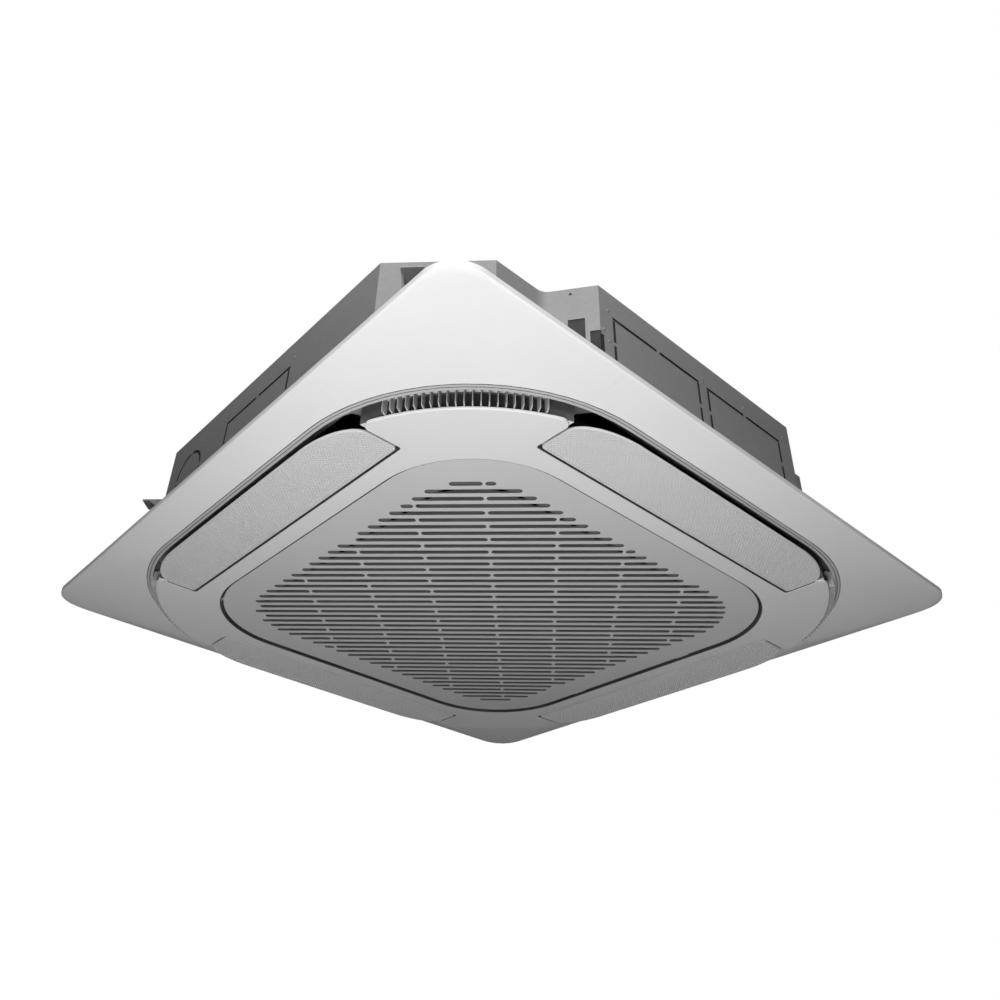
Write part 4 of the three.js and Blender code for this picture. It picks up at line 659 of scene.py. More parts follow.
def grey(level: float) -> Colour:
    """A neutral colour of one linear level."""
    return level, level, level, 1.0


def shade(colour: Colour, factor: float) -> Colour:
    """The colour made darker or lighter by a factor, white at most."""
    red, green, blue = (min(1.0, level * factor) for level in colour[:3])
    return red, green, blue, 1.0


EFFECTS = Effects()
DUST = grey(0.34)
MARK_DEPTH = 0.0001


@dataclass(frozen=True)
class Finish:
    """What every finish states: its name, colour and gloss."""

    name: str
    colour: Colour
    roughness: float = 0.5
    metallic: float = 0.0
    dust: float = 0.06
    bump: float = 0.1

    def start(self) -> tuple[bpy.types.Material, Sketch, bpy.types.Node, bpy.types.NodeSocket]:
        """A new material, its sketch, its shader and the object coordinates.

        Returns:
            The four of them.
        """
        material = bpy.data.materials.new(self.name)
        material.use_nodes = True
        sketch = Sketch(material.node_tree)
        shader = material.node_tree.nodes["Principled BSDF"]
        shader.inputs["Metallic"].default_value = self.metallic
        where = sketch.add("ShaderNodeTexCoord").outputs["Object"]
        return material, sketch, shader, where

    def dress(
        self,
        sketch: Sketch,
        shader: bpy.types.Node,
        where: bpy.types.NodeSocket,
        colour: object,
        height: bpy.types.NodeSocket,
        roughness: object = None,
        depth: float = 0.0004,
    ) -> None:
        """Ages the colour, and joins colour, gloss and relief to the shader.

        Args:
            sketch: The material's sketch.
            shader: Its shader.
            where: Coordinates.
            colour: Colour or socket before ageing.
            height: Relief, 0 to 1.
            roughness: Roughness or socket; the finish's own where left out.
            depth: Real depth of the relief, in metres.
        """
        gloss = self.roughness if roughness is None else roughness
        given = {"Vector": where, "Color": colour, "Roughness": gloss, "Dust": DUST, "Amount": self.dust}
        aged = sketch.add("ShaderNodeGroup", given, node_tree=EFFECTS.ageing)
        relief = sketch.add("ShaderNodeBump", {"Height": height, "Strength": self.bump, "Distance": depth})
        sketch.feed(shader.inputs["Base Color"], aged.outputs["Color"])
        sketch.feed(shader.inputs["Roughness"], aged.outputs["Roughness"])
        sketch.feed(shader.inputs["Normal"], relief.outputs[0])

    def mark(
        self,
        sketch: Sketch,
        shader: bpy.types.Node,
        where: bpy.types.NodeSocket,
        colour: bpy.types.NodeSocket,
        stretch: tuple[float, float, float],
    ) -> None:
        """Dresses a drawn or rolled metal, whose marks give its gloss and relief.

        Args:
            sketch: The material's sketch.
            shader: Its shader.
            where: Coordinates.
            colour: Colour before ageing.
            stretch: Fineness of the marks along each axis.
        """
        given = {"Vector": where, "Stretch": stretch, "Roughness": self.roughness}
        marks = sketch.add("ShaderNodeGroup", given, node_tree=EFFECTS.brushing).outputs
        self.dress(sketch, shader, where, colour, marks["Height"], marks["Roughness"], MARK_DEPTH)


@dataclass(frozen=True)
class MouldedPlastic(Finish):
    """Injection-moulded plastic with a fine eroded grain."""

    grain: float = 1100.0
    tone: float = 0.06

    def make(self) -> bpy.types.Material:
        """Lays out the material's nodes.

        Returns:
            The finished material.
        """
        material, sketch, shader, where = self.start()
        grain = sketch.add("ShaderNodeGroup", {"Vector": where, "Scale": self.grain}, node_tree=EFFECTS.grain)
        colour = sketch.mix(grain.outputs["Tone"], shade(self.colour, 1 - self.tone), self.colour)
        self.dress(sketch, shader, where, colour, grain.outputs["Height"])
        return material


@dataclass(frozen=True)
class SheetSteel(Finish):
    """Zinc-coated sheet: faint crystal patches under rolling marks."""

    crystal: float = 55.0
    contrast: float = 0.12
    stretch: tuple[float, float, float] = (500.0, 500.0, 24.0)

    def make(self) -> bpy.types.Material:
        """Lays out the material's nodes.

        Returns:
            The finished material.
        """
        material, sketch, shader, where = self.start()
        given = {"Vector": where, "Scale": self.crystal, "Randomness": 1.0}
        cells = sketch.add("ShaderNodeTexVoronoi", given)
        level = sketch.add("ShaderNodeSeparateColor", {0: cells.outputs["Color"]}).outputs[0]
        dark, light = (shade(self.colour, 1 + side * self.contrast) for side in (-1, 1))
        colour = sketch.mix(level, dark, light)
        self.mark(sketch, shader, where, colour, self.stretch)
        return material


@dataclass(frozen=True)
class DrawnMetal(Finish):
    """Drawn tube or machined fitting, with tarnish in patches."""

    tarnish: Colour = (0.25, 0.12, 0.07, 1.0)
    stretch: tuple[float, float, float] = (60.0, 900.0, 900.0)

    def make(self) -> bpy.types.Material:
        """Lays out the material's nodes.

        Returns:
            The finished material.
        """
        material, sketch, shader, where = self.start()
        patches = sketch.noise(where, 38.0, 5.0)
        colour = sketch.mix(sketch.remap(patches, 0.45, 0.75, 0.0, 0.7), self.colour, self.tarnish)
        self.mark(sketch, shader, where, colour, self.stretch)
        return material


@dataclass(frozen=True)
class BeadFoam(Finish):
    """Moulded bead foam: packed round cells with darker joints."""

    bead: float = 260.0
    joint: float = 0.72

    def make(self) -> bpy.types.Material:
        """Lays out the material's nodes.

        Returns:
            The finished material.
        """
        material, sketch, shader, where = self.start()
        cells = sketch.add("ShaderNodeTexVoronoi", {"Vector": where, "Scale": self.bead}, feature="SMOOTH_F1")
        spread = sketch.remap(cells.outputs[0], 0.25, 0.75)
        colour = sketch.mix(spread, self.colour, shade(self.colour, self.joint))
        height = sketch.math("SUBTRACT", 1.0, spread)
        self.dress(sketch, shader, where, colour, height, depth=0.0008)
        return material


@dataclass(frozen=True)
class FinStack(Finish):
    """Thin pressed fins, close together."""

    pitch: float = 0.0016
    # Gaps between the fins are darkened by this factor, painted shade.
    gap: float = 0.25

    def make(self) -> bpy.types.Material:
        """Lays out the material's nodes.

        Returns:
            The finished material.
        """
        material, sketch, shader, where = self.start()
        axes = sketch.add("ShaderNodeSeparateXYZ", {0: where}).outputs
        normal = sketch.add("ShaderNodeNewGeometry").outputs["Normal"]
        lean = sketch.add("ShaderNodeSeparateXYZ", {0: normal}).outputs
        tilt = [sketch.math("ABSOLUTE", axis) for axis in lean[:2]]
        faces_x = sketch.math("GREATER_THAN", *tilt)
        along = sketch.add("ShaderNodeMix", {0: faces_x, 2: axes[0], 3: axes[1]}).outputs[0]
        wave = sketch.math("PINGPONG", sketch.math("DIVIDE", along, self.pitch), 1.0)
        edge = sketch.remap(wave, 0.25, 0.6)
        # Painted shade: the gaps between the fins are darker.
        colour = sketch.mix(edge, shade(self.colour, self.gap), self.colour)
        self.dress(sketch, shader, where, colour, edge, depth=0.001)
        return material


@dataclass(frozen=True)
class WovenNet(Finish):
    """A net of fine threads, its meshes darkened as painted shade."""

    thread: float = 0.0016
    # The meshes are darkened by this factor, painted shade.
    mesh: float = 0.35

    def make(self) -> bpy.types.Material:
        """Lays out the material's nodes.

        Returns:
            The finished material.
        """
        material, sketch, shader, where = self.start()
        axes = sketch.add("ShaderNodeSeparateXYZ", {0: where}).outputs
        waves = [sketch.math("PINGPONG", sketch.math("DIVIDE", axis, self.thread), 1.0) for axis in axes[:2]]
        thread = sketch.math("MAXIMUM", waves[0], waves[1])
        shown = sketch.remap(thread, 0.55, 0.85)
        # Painted shade: the meshes between the threads are darker.
        colour = sketch.mix(shown, shade(self.colour, self.mesh), self.colour)
        self.dress(sketch, shader, where, colour, shown, depth=0.0006)
        return material


@dataclass(frozen=True)
class LacqueredBoard(Finish):
    """Circuit board: lacquer over copper tracks."""

    cell: float = 130.0
    track: float = 2.2

    def make(self) -> bpy.types.Material:
        """Lays out the material's nodes.

        Returns:
            The finished material.
        """
        material, sketch, shader, where = self.start()
        given = {"Vector": where, "Scale": self.cell}
        cells = sketch.add("ShaderNodeTexVoronoi", given, distance="MANHATTAN", feature="DISTANCE_TO_EDGE")
        track = sketch.remap(cells.outputs[0], 0.05, 0.12, 1.0, 0.0)
        colour = sketch.mix(track, self.colour, shade(self.colour, self.track))
        self.dress(sketch, shader, where, colour, track, depth=0.0001)
        return material


class Palette:
    """Every material of the unit, made once."""

    def __init__(self) -> None:
        """Makes the materials."""
        self.panel = MouldedPlastic("panel_white", grey(0.82), 0.36, dust=0.03, bump=0.05, tone=0.03).make()
        self.centre = MouldedPlastic("centre_white", grey(0.76), 0.42, dust=0.03, bump=0.08, tone=0.04).make()
        self.grille = MouldedPlastic("grille_grey", grey(0.62), 0.45, dust=0.05, bump=0.10, tone=0.05).make()
        self.vane = MouldedPlastic("vane_grey", grey(0.66), 0.50, dust=0.04, bump=0.08, tone=0.05).make()
        # Painted shade: near-black on the walls and floors of the vanes' blind perforations, standing in for
        # the shade inside holes.
        self.mesh = MouldedPlastic("vane_hole_shade", grey(0.02), 0.70, dust=0.10, bump=0.10, tone=0.10).make()
        # Painted shade: near-black for the recess behind each comb and for the shallow pockets that stand in
        # for the body's slits, windows and holes.
        self.recess_shade = MouldedPlastic("painted_recess_shade", grey(0.02), 0.70, dust=0.10, bump=0.10, tone=0.10).make()
        self.lip = MouldedPlastic("lip_grey", grey(0.50), 0.45, dust=0.04, bump=0.06, tone=0.04).make()
        # Painted shade: dark grey for the slots' inner walls and for the filter ledge and filter frame seen
        # through them.
        self.slot = MouldedPlastic("painted_slot_shade", grey(0.12), 0.60, dust=0.10, bump=0.10, tone=0.10).make()
        self.comb = MouldedPlastic("comb_grey", grey(0.48), 0.50, dust=0.06, bump=0.10, tone=0.08).make()
        # Painted shade: dark grey on the throat's grooves and duct wall, the top ledge, the cove of the
        # grille opening, the centre panel's inner walls and the grille's outer edge.
        self.duct = MouldedPlastic("painted_shade_grey", grey(0.10), 0.60, dust=0.12, bump=0.12, tone=0.08).make()
        self.black = MouldedPlastic(
            "black_plastic", grey(0.025), 0.45, dust=0.10, bump=0.15, tone=0.15
        ).make()
        self.fan = MouldedPlastic("fan_grey", grey(0.36), 0.50, dust=0.14, bump=0.10, tone=0.08).make()
        self.rubber = MouldedPlastic(
            "rubber", grey(0.02), 0.80, dust=0.20, bump=0.20, grain=600.0, tone=0.2
        ).make()
        self.steel = SheetSteel(
            "zinc_sheet", grey(0.34), 0.60, 0.15, dust=0.05, bump=0.06, crystal=150.0, contrast=0.025
        ).make()
        self.bracket = SheetSteel("zinc_bracket", grey(0.36), 0.55, 0.20, dust=0.10, bump=0.12).make()
        self.foam = BeadFoam("bead_foam", grey(0.20), 0.85, dust=0.08, bump=0.35).make()
        self.copper = DrawnMetal(
            "copper_tube", (0.72, 0.36, 0.22, 1.0), 0.30, 1.0, dust=0.05, bump=0.08
        ).make()
        dull = (0.35, 0.24, 0.10, 1.0)
        self.brass = DrawnMetal(
            "brass_fitting", (0.70, 0.52, 0.22, 1.0), 0.28, 1.0, dust=0.05, bump=0.08, tarnish=dull
        ).make()
        self.fins = FinStack("coil_fins", grey(0.60), 0.40, 0.85, dust=0.08, bump=0.6).make()
        self.net = WovenNet("filter_net", grey(0.085), 0.70, dust=0.12, bump=0.5).make()
        self.board = LacqueredBoard(
            "circuit_board", (0.03, 0.14, 0.07, 1.0), 0.35, dust=0.06, bump=0.2
        ).make()


# ------------------------------------------------------------------ decoration panel


@dataclass
class PanelFrame:
    """The bowed outer frame of the panel with its four corner covers."""

    half: float = 475.0
    corner_radius: float = 42.0
    ceiling: float = 35.0
    band: float = 7.0
    wall: float = 2.6
    lip_half: float = 422.0
    lip_reach: float = 494.5
    lip_height: float = 17.0
    bow: float = 60000.0
    throat_inset: float = 0.6
    seam: float = 240.0
    skin: float = 2.3
    floor: float = 1.8
    seam_gap: float = 0.12
    border: float = 9.0
    border_height: float = 17.9
    window_radius: float = 26.0
    window_reach: float = 575.35
    ledge: float = 2.5
    ledge_under: float = 8.0
    rim_edge: Profile = ((0.0, 1.2), (0.25, 0.3))
    slope: Profile = ((0.06, 1.8), (0.5, 1.2))
    groove_line: Profile = (
        (-8.9, 0.8),
        (-8.1, 0.8),
        (-8.0, -0.1),
        (-4.9, -0.4),
        (-4.8, 0.4),
        (-4.1, 0.4),
        (-4.0, -0.45),
        (-1.1, -0.75),
        (-0.4, -0.7),
        (0.0, -0.3),
        (0.4, 0.6),
    )
    grey_bands: tuple[int, ...] = (2, 6, 7, 8)
    # Bands painted dark grey as painted shade: the two grooves and the duct wall.
    painted_shade_bands: tuple[int, ...] = (-1, 0, 1, 3, 4, 5, 9, 10, 11, 12)

    def stations(self) -> list[tuple[float, float]]:
        """The face's slope: share of the way from the rim to the border of the lip, and height.

        Returns:
            Pairs of share and height.
        """
        top = self.ceiling - self.band
        (first, fall), (half_way, sag) = self.slope
        middle = (top + self.border_height) / 2 - sag
        knots = [(0.0, top), (first, top - fall), (half_way, middle), (1.0, self.border_height)]
        rows = []
        for (s0, z0), (s1, z1) in zip(knots, knots[1:]):
            steps = 2 if s1 < 0.1 else 6
            rows += [(s0 + (s1 - s0) * i / steps, z0 + (z1 - z0) * i / steps) for i in range(steps)]
        return rows + [knots[-1]]

    def loop(self, share: float, z: float, sideways: float = 0.0) -> Loop:
        """A loop on the face at a share of the way to the lip's border, moved in by a distance.

        Args:
            share: Share of the way from the rim.
            z: Height.
            sideways: How far it is moved in.

        Returns:
            The loop.
        """
        rim_reach = self.half * math.sqrt(2) - self.corner_radius * (math.sqrt(2) - 1)
        half = self.half + (self.lip_half + self.border - self.half) * share - sideways
        reach = rim_reach + (self.lip_reach + self.border - rim_reach) * share - sideways
        return raised(bowed_square(half, reach, self.bow / max(share, 1e-3)), z)

    def lip(self, step: float, z: float) -> Loop:
        """A loop that runs along the lip, moved in by a step."""
        return raised(bowed_square(self.lip_half - step, self.lip_reach - step, self.bow), z)

    def front(self) -> list[Loop]:
        """Loops from the ceiling down the rim and in along the face to the lip's border.

        Returns:
            The loops in order.
        """
        top = self.ceiling - self.band
        loops = [self.loop(0, self.ceiling)]
        loops += [self.loop(0, top + up, sideways) for sideways, up in self.rim_edge]
        return loops + [self.loop(share, z) for share, z in self.stations()[1:]]

    def back(self, depth: float) -> list[Loop]:
        """Loops of the back of such a layer, from its inner end out and up to the ceiling.

        Args:
            depth: How far behind the face the back lies.

        Returns:
            The loops in order.
        """
        top = self.ceiling - self.band
        return [
            self.loop(1.0, self.border_height + depth),
            self.loop(0, top + depth, depth),
            self.loop(0, self.ceiling, depth),
        ]

    def throat(self) -> list[Loop]:
        """Loops of the border with its two fine grooves, of the rounded lip and of the duct wall.

        Returns:
            The loops in order.
        """
        rows = [(step, self.border_height + up) for step, up in self.groove_line]
        rows += [(self.throat_inset, self.ceiling), (self.throat_inset - self.wall, self.ceiling)]
        rows.append((2.0 - self.wall, self.lip_height + 4.4))
        return [self.lip(step, height) for step, height in rows]

    def paint_throat(self, piece: bpy.types.Object, start: int, palette: Palette) -> None:
        """Dresses a loft whose throat begins at a loop: grey lip, and grooves and duct wall in dark grey,
        painted shade.

        Args:
            piece: The loft.
            start: Number of the throat's first loop.
            palette: The unit's materials.
        """
        for material in (palette.panel, palette.lip, palette.duct):
            piece.data.materials.append(material)
        sides = len(self.lip(0.0, 0.0))
        paint(piece, sides, (start + i for i in self.grey_bands), 1)
        paint(piece, sides, (start + i for i in self.painted_shade_bands), 2)

    def corner(self, turn: int, grow: float) -> bpy.types.Object:
        """The block of a corner cover's region, grown by a clearance."""
        low, high = self.seam - grow, self.half + 1
        return turned(box((low, low, 0), (high, high, self.ceiling + 1)), turn)

    def build(self, palette: Palette) -> None:
        """Builds the frame and the covers.

        Args:
            palette: The unit's materials.
        """
        behind = self.skin + SEAT
        shell = loft(self.front() + self.throat() + self.back(self.wall), closed=True)
        self.paint_throat(shell, len(self.front()), palette)
        for turn in TURNS:
            cut(shell, self.corner(turn, SEAT / 2), Cut.AWAY)
        outside = [
            self.loop(0, self.ceiling, behind),
            self.loop(0, self.ceiling - self.band + behind, behind),
            self.lip(SEAT - self.border, self.border_height + behind),
            self.lip(SEAT - self.border, self.border_height),
        ]
        pocket = loft(outside + self.throat() + self.back(behind + self.floor), closed=True)
        self.paint_throat(pocket, len(outside), palette)
        corners = []
        for turn in TURNS:
            part = copied(pocket)
            cut(part, self.corner(turn, self.wall), Cut.WITHIN)
            angle = math.pi / 4 + turn * math.pi / 2
            x, y = self.window_reach * math.cos(angle), self.window_reach * math.sin(angle)
            cut(part, rod(Vector((x, y, 0)), Vector((x, y, 60)), self.window_radius, 40), Cut.AWAY)
            corners.append(part)
        bpy.data.objects.remove(pocket)
        for part in corners:
            cut(shell, part, Cut.TOGETHER)
        cut(shell, self.top_ledge(palette), Cut.TOGETHER)
        materials = [palette.panel, palette.lip, palette.duct]
        place(shell, "panel_frame_moulding", "unit", materials, ["panel_frame"], 30.0)
        for turn in TURNS:
            skin = loft(self.front() + self.back(self.skin), closed=True)
            cut(skin, self.corner(turn, SEAT / 2 - self.seam_gap), Cut.WITHIN)
            name = f"corner_cover_{turn + 1}"
            place(skin, name + "_skin", "unit", [palette.panel], [name], 30.0)

    def top_ledge(self, palette: Palette) -> bpy.types.Object:
        """The ledge from the top of the duct wall in under the edge of the body, painted dark grey as painted
        shade.

        Args:
            palette: The unit's materials.

        Returns:
            The ledge.
        """
        wall_line = [Vector((p.x, p.y)) for p in self.lip(self.throat_inset - self.wall / 2, 0)]
        ledge = prism(wall_line, self.ceiling - self.ledge, self.ceiling)
        hole = prism(inset(SteelBody().plan(), self.ledge_under), self.ceiling - 10, self.ceiling + 10)
        cut(ledge, hole, Cut.AWAY)
        ledge.data.materials.clear()
        ledge.data.materials.append(palette.duct)
        return ledge


@dataclass
class CentrePanel:
    """The central panel with its vane windows, duct walls, grille well and corner combs."""

    half: float = 432.0
    reach: float = 485.0
    bow: float = 1500.0
    plate: float = 3.0
    wall: float = 2.5
    ledge: float = 3.0
    top: float = 32.2
    window_in: float = 346.5
    window_length: float = 484.0
    window_radius: float = 4.0
    window_edge: float = 0.9
    duct_in: float = 12.0
    crease: Profile = (
        (-2.6, -1.0),
        (-1.6, -0.02),
        (-0.9, 0.12),
        (-0.3, 0.5),
        (0.2, 1.1),
        (1.1, 2.0),
        (2.5, 3.0),
        (2.5, 3.1),
    )
    # Bands of the cove painted dark grey as painted shade.
    crease_shade_bands: tuple[int, ...] = (3, 4, 5, 6)
    tip_radius: float = 11.0
    opening_half: float = 321.0
    opening_radius: float = 143.0
    well_gap: float = 4.0
    edge: float = 1.6
    axis_in: float = 356.0
    axis_height: float = 6.2
    pin_bore: float = 2.35
    hinge_x: float = -306.2
    hinge_height: float = 2.8
    peg_bore: float = 1.45
    peg_root: float = 11.0
    peg_tip: float = 7.6
    boss: float = 1.1
    keeper_y: float = 110.0
    keeper_half: float = 11.0
    keeper_x: float = 318.8
    keeper_top: float = 5.9
    ribs: int = 21
    rib_pitch: float = 8.6
    rib: float = 2.6
    rib_depth: float = 9.0
    rib_root: float = 0.9
    rib_end: float = 0.55
    rib_nose: float = 0.25
    rib_round: float = 0.8
    strip: float = 1.6
    comb_bottom: float = 4.0
    comb_top: float = 28.0
    strip_width: float = 5.0
    strip_height: float = 3.2
    recess_depth: float = 1.4
    recess_rise: float = 0.6
    recess_drop: float = 5.0

    def wall_line(self) -> Loop:
        """The line of the outer wall, a little inside the panel's edge."""
        return bowed_square(self.half - self.ledge, self.reach - self.ledge, self.bow)

    def hinge_opening(self) -> float:
        """Half the width of the grille opening on the hinge axis."""
        centre = self.opening_half - self.opening_radius
        return centre + math.sqrt(self.opening_radius**2 - (self.hinge_x + centre) ** 2)

    def ring_wall(self, outer: Loop, inner: Loop) -> bpy.types.Object:
        """An upright wall between two outlines."""
        return wall_between(outer, inner, self.plate - 1, self.top)

    def shell(self) -> bpy.types.Object:
        """Plate, walls and ducts, before anything is cut.

        Returns:
            The panel as one solid.
        """
        outline = bowed_square(self.half, self.reach, self.bow)
        plate = loft(rounded_stack(outline, 0, self.plate, self.edge))
        wall_line = self.wall_line()
        cut(plate, self.ring_wall(wall_line, inset(wall_line, self.wall)), Cut.TOGETHER)
        well_half, well_radius = self.opening_half + self.well_gap, self.opening_radius + self.well_gap
        outer = rounded_square(well_half + self.wall, well_radius + self.wall)
        cut(plate, self.ring_wall(outer, rounded_square(well_half, well_radius)), Cut.TOGETHER)
        wall_half = self.window_length / 2 + self.wall
        for turn in TURNS:
            low = (self.window_in - self.wall, -wall_half, self.plate - 1)
            block = turned(box(low, (self.half - self.duct_in, wall_half, self.top)), turn)
            cut(block, prism(wall_line, 0, 60), Cut.WITHIN)
            cut(plate, block, Cut.TOGETHER)
        reach = self.peg_bore + self.boss
        opening = self.hinge_opening()
        for side in (-1, 1):
            y0, y1 = sorted((side * (opening + self.boss), side * (opening + self.peg_tip + self.boss * 1.5)))
            low = (self.hinge_x - reach, y0, self.plate / 2)
            block = box(low, (self.hinge_x + reach, y1, self.hinge_height + reach))
            cut(plate, block, Cut.TOGETHER)
            y = side * self.keeper_y
            keeper = box(
                (self.keeper_x, y - self.keeper_half, self.plate - 1),
                (self.opening_half + self.well_gap + 1, y + self.keeper_half, self.keeper_top),
            )
            cut(plate, keeper, Cut.TOGETHER)
        return plate

    def window(self, turn: int) -> bpy.types.Object:
        """The cutter of a vane window, flared at the lower face for a soft edge.

        Args:
            turn: How many quarter turns from the +X side.

        Returns:
            The cutter.
        """
        half = self.window_length / 2
        hole = rounded_rectangle(self.window_in, -half, self.half + 30, half, self.window_radius)
        loops = [raised(inset(hole, -1.0), -1.0)]
        for i in range(4):
            angle = math.pi / 2 * i / 3
            outline = inset(hole, -self.window_edge * (1 - math.sin(angle)))
            loops.append(raised(outline, self.window_edge * (1 - math.cos(angle)) - 0.01))
        loops.append(raised(hole, 40.0))
        return turned(loft(loops), turn)

    def tip_waste(self, turn: int, end: int) -> bpy.types.Object:
        """What is cut off the plate to round the tip at one end of a vane window.

        Args:
            turn: How many quarter turns from the +X side.
            end: Which end of the window, 1 or -1.

        Returns:
            The waste, as a cutter.
        """
        centre, radius, _ = bowed_corner(self.half, self.reach, self.bow)
        edge, r = self.window_length / 2, self.tip_radius
        y = edge + r
        x = centre + math.sqrt((radius - r) ** 2 - (y - centre) ** 2)
        last = math.atan2(y - centre, x - centre)
        beyond = Vector((x + 3 * r * math.cos(last), y + 3 * r * math.sin(last)))
        loop = [Vector((x, edge - 1)), Vector((x + 3 * r, edge - 1)), beyond]
        loop += arc(x, y, r, last, -math.pi / 2, 10)
        return turned(prism([Vector((p.x, p.y * end)) for p in loop], -1, self.plate), turn)

    def opening(self, palette: Palette) -> bpy.types.Object:
        """The cutter of the grille opening, narrowing in a soft cove below a rolled edge; the cove's inner
        bands are painted dark grey, painted shade.

        Args:
            palette: The unit's materials.

        Returns:
            The cutter.
        """
        loops = []
        for narrow, z in self.crease:
            loops.append(raised(rounded_square(self.opening_half - narrow, self.opening_radius - narrow), z))
        tool = loft(loops)
        for material in (palette.centre, palette.duct):
            tool.data.materials.append(material)
        paint(tool, len(loops[0]), self.crease_shade_bands, 1)
        return tool

    def build(self, palette: Palette) -> None:
        """Builds the central panel and the combs.

        Args:
            palette: The unit's materials.
        """
        plate = self.shell()
        for turn in TURNS:
            cut(plate, self.window(turn), Cut.AWAY)
            reach = self.window_length / 2 + self.wall + 1
            ends = [Vector((self.axis_in, y, self.axis_height)) for y in (-reach, reach)]
            cut(plate, turned(rod(*ends, self.pin_bore), turn), Cut.AWAY)
            for end in (-1, 1):
                cut(plate, self.tip_waste(turn, end), Cut.AWAY)
        plate.data.materials.append(palette.centre)
        cut(plate, self.opening(palette), Cut.AWAY)
        opening = self.hinge_opening()
        for side in (-1, 1):
            root, tip = side * (opening - self.peg_root), side * (opening + self.peg_tip)
            ends = [Vector((self.hinge_x, y, self.hinge_height)) for y in (root, tip)]
            cut(plate, rod(*ends, self.peg_bore), Cut.AWAY)
        for turn in TURNS:
            cut(plate, self.comb_recess(turn, palette), Cut.AWAY)
        materials = [palette.centre, palette.duct, palette.recess_shade]
        plate = place(plate, "centre_panel_moulding", "unit", materials, ["panel_base"])
        # Painted shade: faces more than 1.5 mm above the plate's top, on the walls, ducts, hinge blocks and
        # keepers, go dark grey.
        for face in plate.data.polygons:
            if face.material_index == 0 and face.center.z > (self.plate + 1.5) * MM:
                face.material_index = 1
        for turn in TURNS:
            self.comb(turn, palette)

    def comb_line(self) -> tuple[float, float, float]:
        """Centre and radius of the wall behind a comb, and half the angle that the comb spans.

        Returns:
            The centre on the diagonal, the radius and the half angle.
        """
        centre, radius, _ = bowed_corner(self.half - self.ledge, self.reach - self.ledge, self.bow)
        half = (self.ribs - 1) * self.rib_pitch / 2
        return centre, radius, (half + self.rib) / (radius + SEAT)

    def comb_sector(
        self, inner: float, outer: float, bottom: float, top: float, turn: int
    ) -> bpy.types.Object:
        """A curved block over the comb's angle, between two distances from the wall.

        Args:
            inner: Distance of its near side from the wall.
            outer: Distance of its far side.
            bottom: Height of its lower face.
            top: Height of its upper face.
            turn: How many quarter turns from the first corner.

        Returns:
            The block.
        """
        centre, radius, half = self.comb_line()
        first, last = math.pi / 4 - half, math.pi / 4 + half
        loop = arc(centre, centre, radius + outer, first, last, 40)
        loop += arc(centre, centre, radius + inner, last, first, 40)
        return turned(prism(loop, bottom, top), turn)

    def comb_recess(self, turn: int, palette: Palette) -> bpy.types.Object:
        """The cutter of the recess in the wall behind a comb, its faces painted near-black as painted shade.

        Args:
            turn: How many quarter turns from the first corner.
            palette: The unit's materials.

        Returns:
            The cutter.
        """
        low, high = self.plate + self.recess_rise, self.comb_top - self.recess_drop
        recess = self.comb_sector(-self.recess_depth, 1.0, low, high, turn)
        recess.data.materials.clear()
        recess.data.materials.append(palette.recess_shade)
        return recess

    def comb(self, turn: int, palette: Palette) -> None:
        """A corner's comb: thin tapered ribs that hang from a strip along their upper ends.

        Args:
            turn: How many quarter turns from the first corner.
            palette: The unit's materials.
        """
        centre, radius, _ = self.comb_line()
        half = (self.ribs - 1) * self.rib_pitch / 2
        tip = SEAT + self.strip + self.rib_depth
        low = self.comb_top - self.strip_height
        comb = self.comb_sector(SEAT, self.strip_width, low, self.comb_top, turn)
        edge = [(SEAT, self.rib_root), (tip - self.rib_round, self.rib_end), (tip, self.rib_nose)]
        outline = edge + [(out, -width) for out, width in reversed(edge)]
        for i in range(self.ribs):
            along = i * self.rib_pitch - half
            angle = math.pi / 4 + along / (radius + SEAT)
            ahead = Vector((math.cos(angle), math.sin(angle)))
            aside = Vector((-ahead.y, ahead.x))
            start = Vector((centre, centre)) + ahead * radius
            loop = [start + ahead * out + aside * width for out, width in outline]
            rib = prism(loop, self.comb_bottom, self.comb_top - 1)
            cut(comb, turned(rib, turn), Cut.TOGETHER)
        name = f"corner_comb_{turn + 1}"
        place(comb, name + "_ribs", "unit", [palette.comb], [name])


# ------------------------------------------------------------------ intake grille


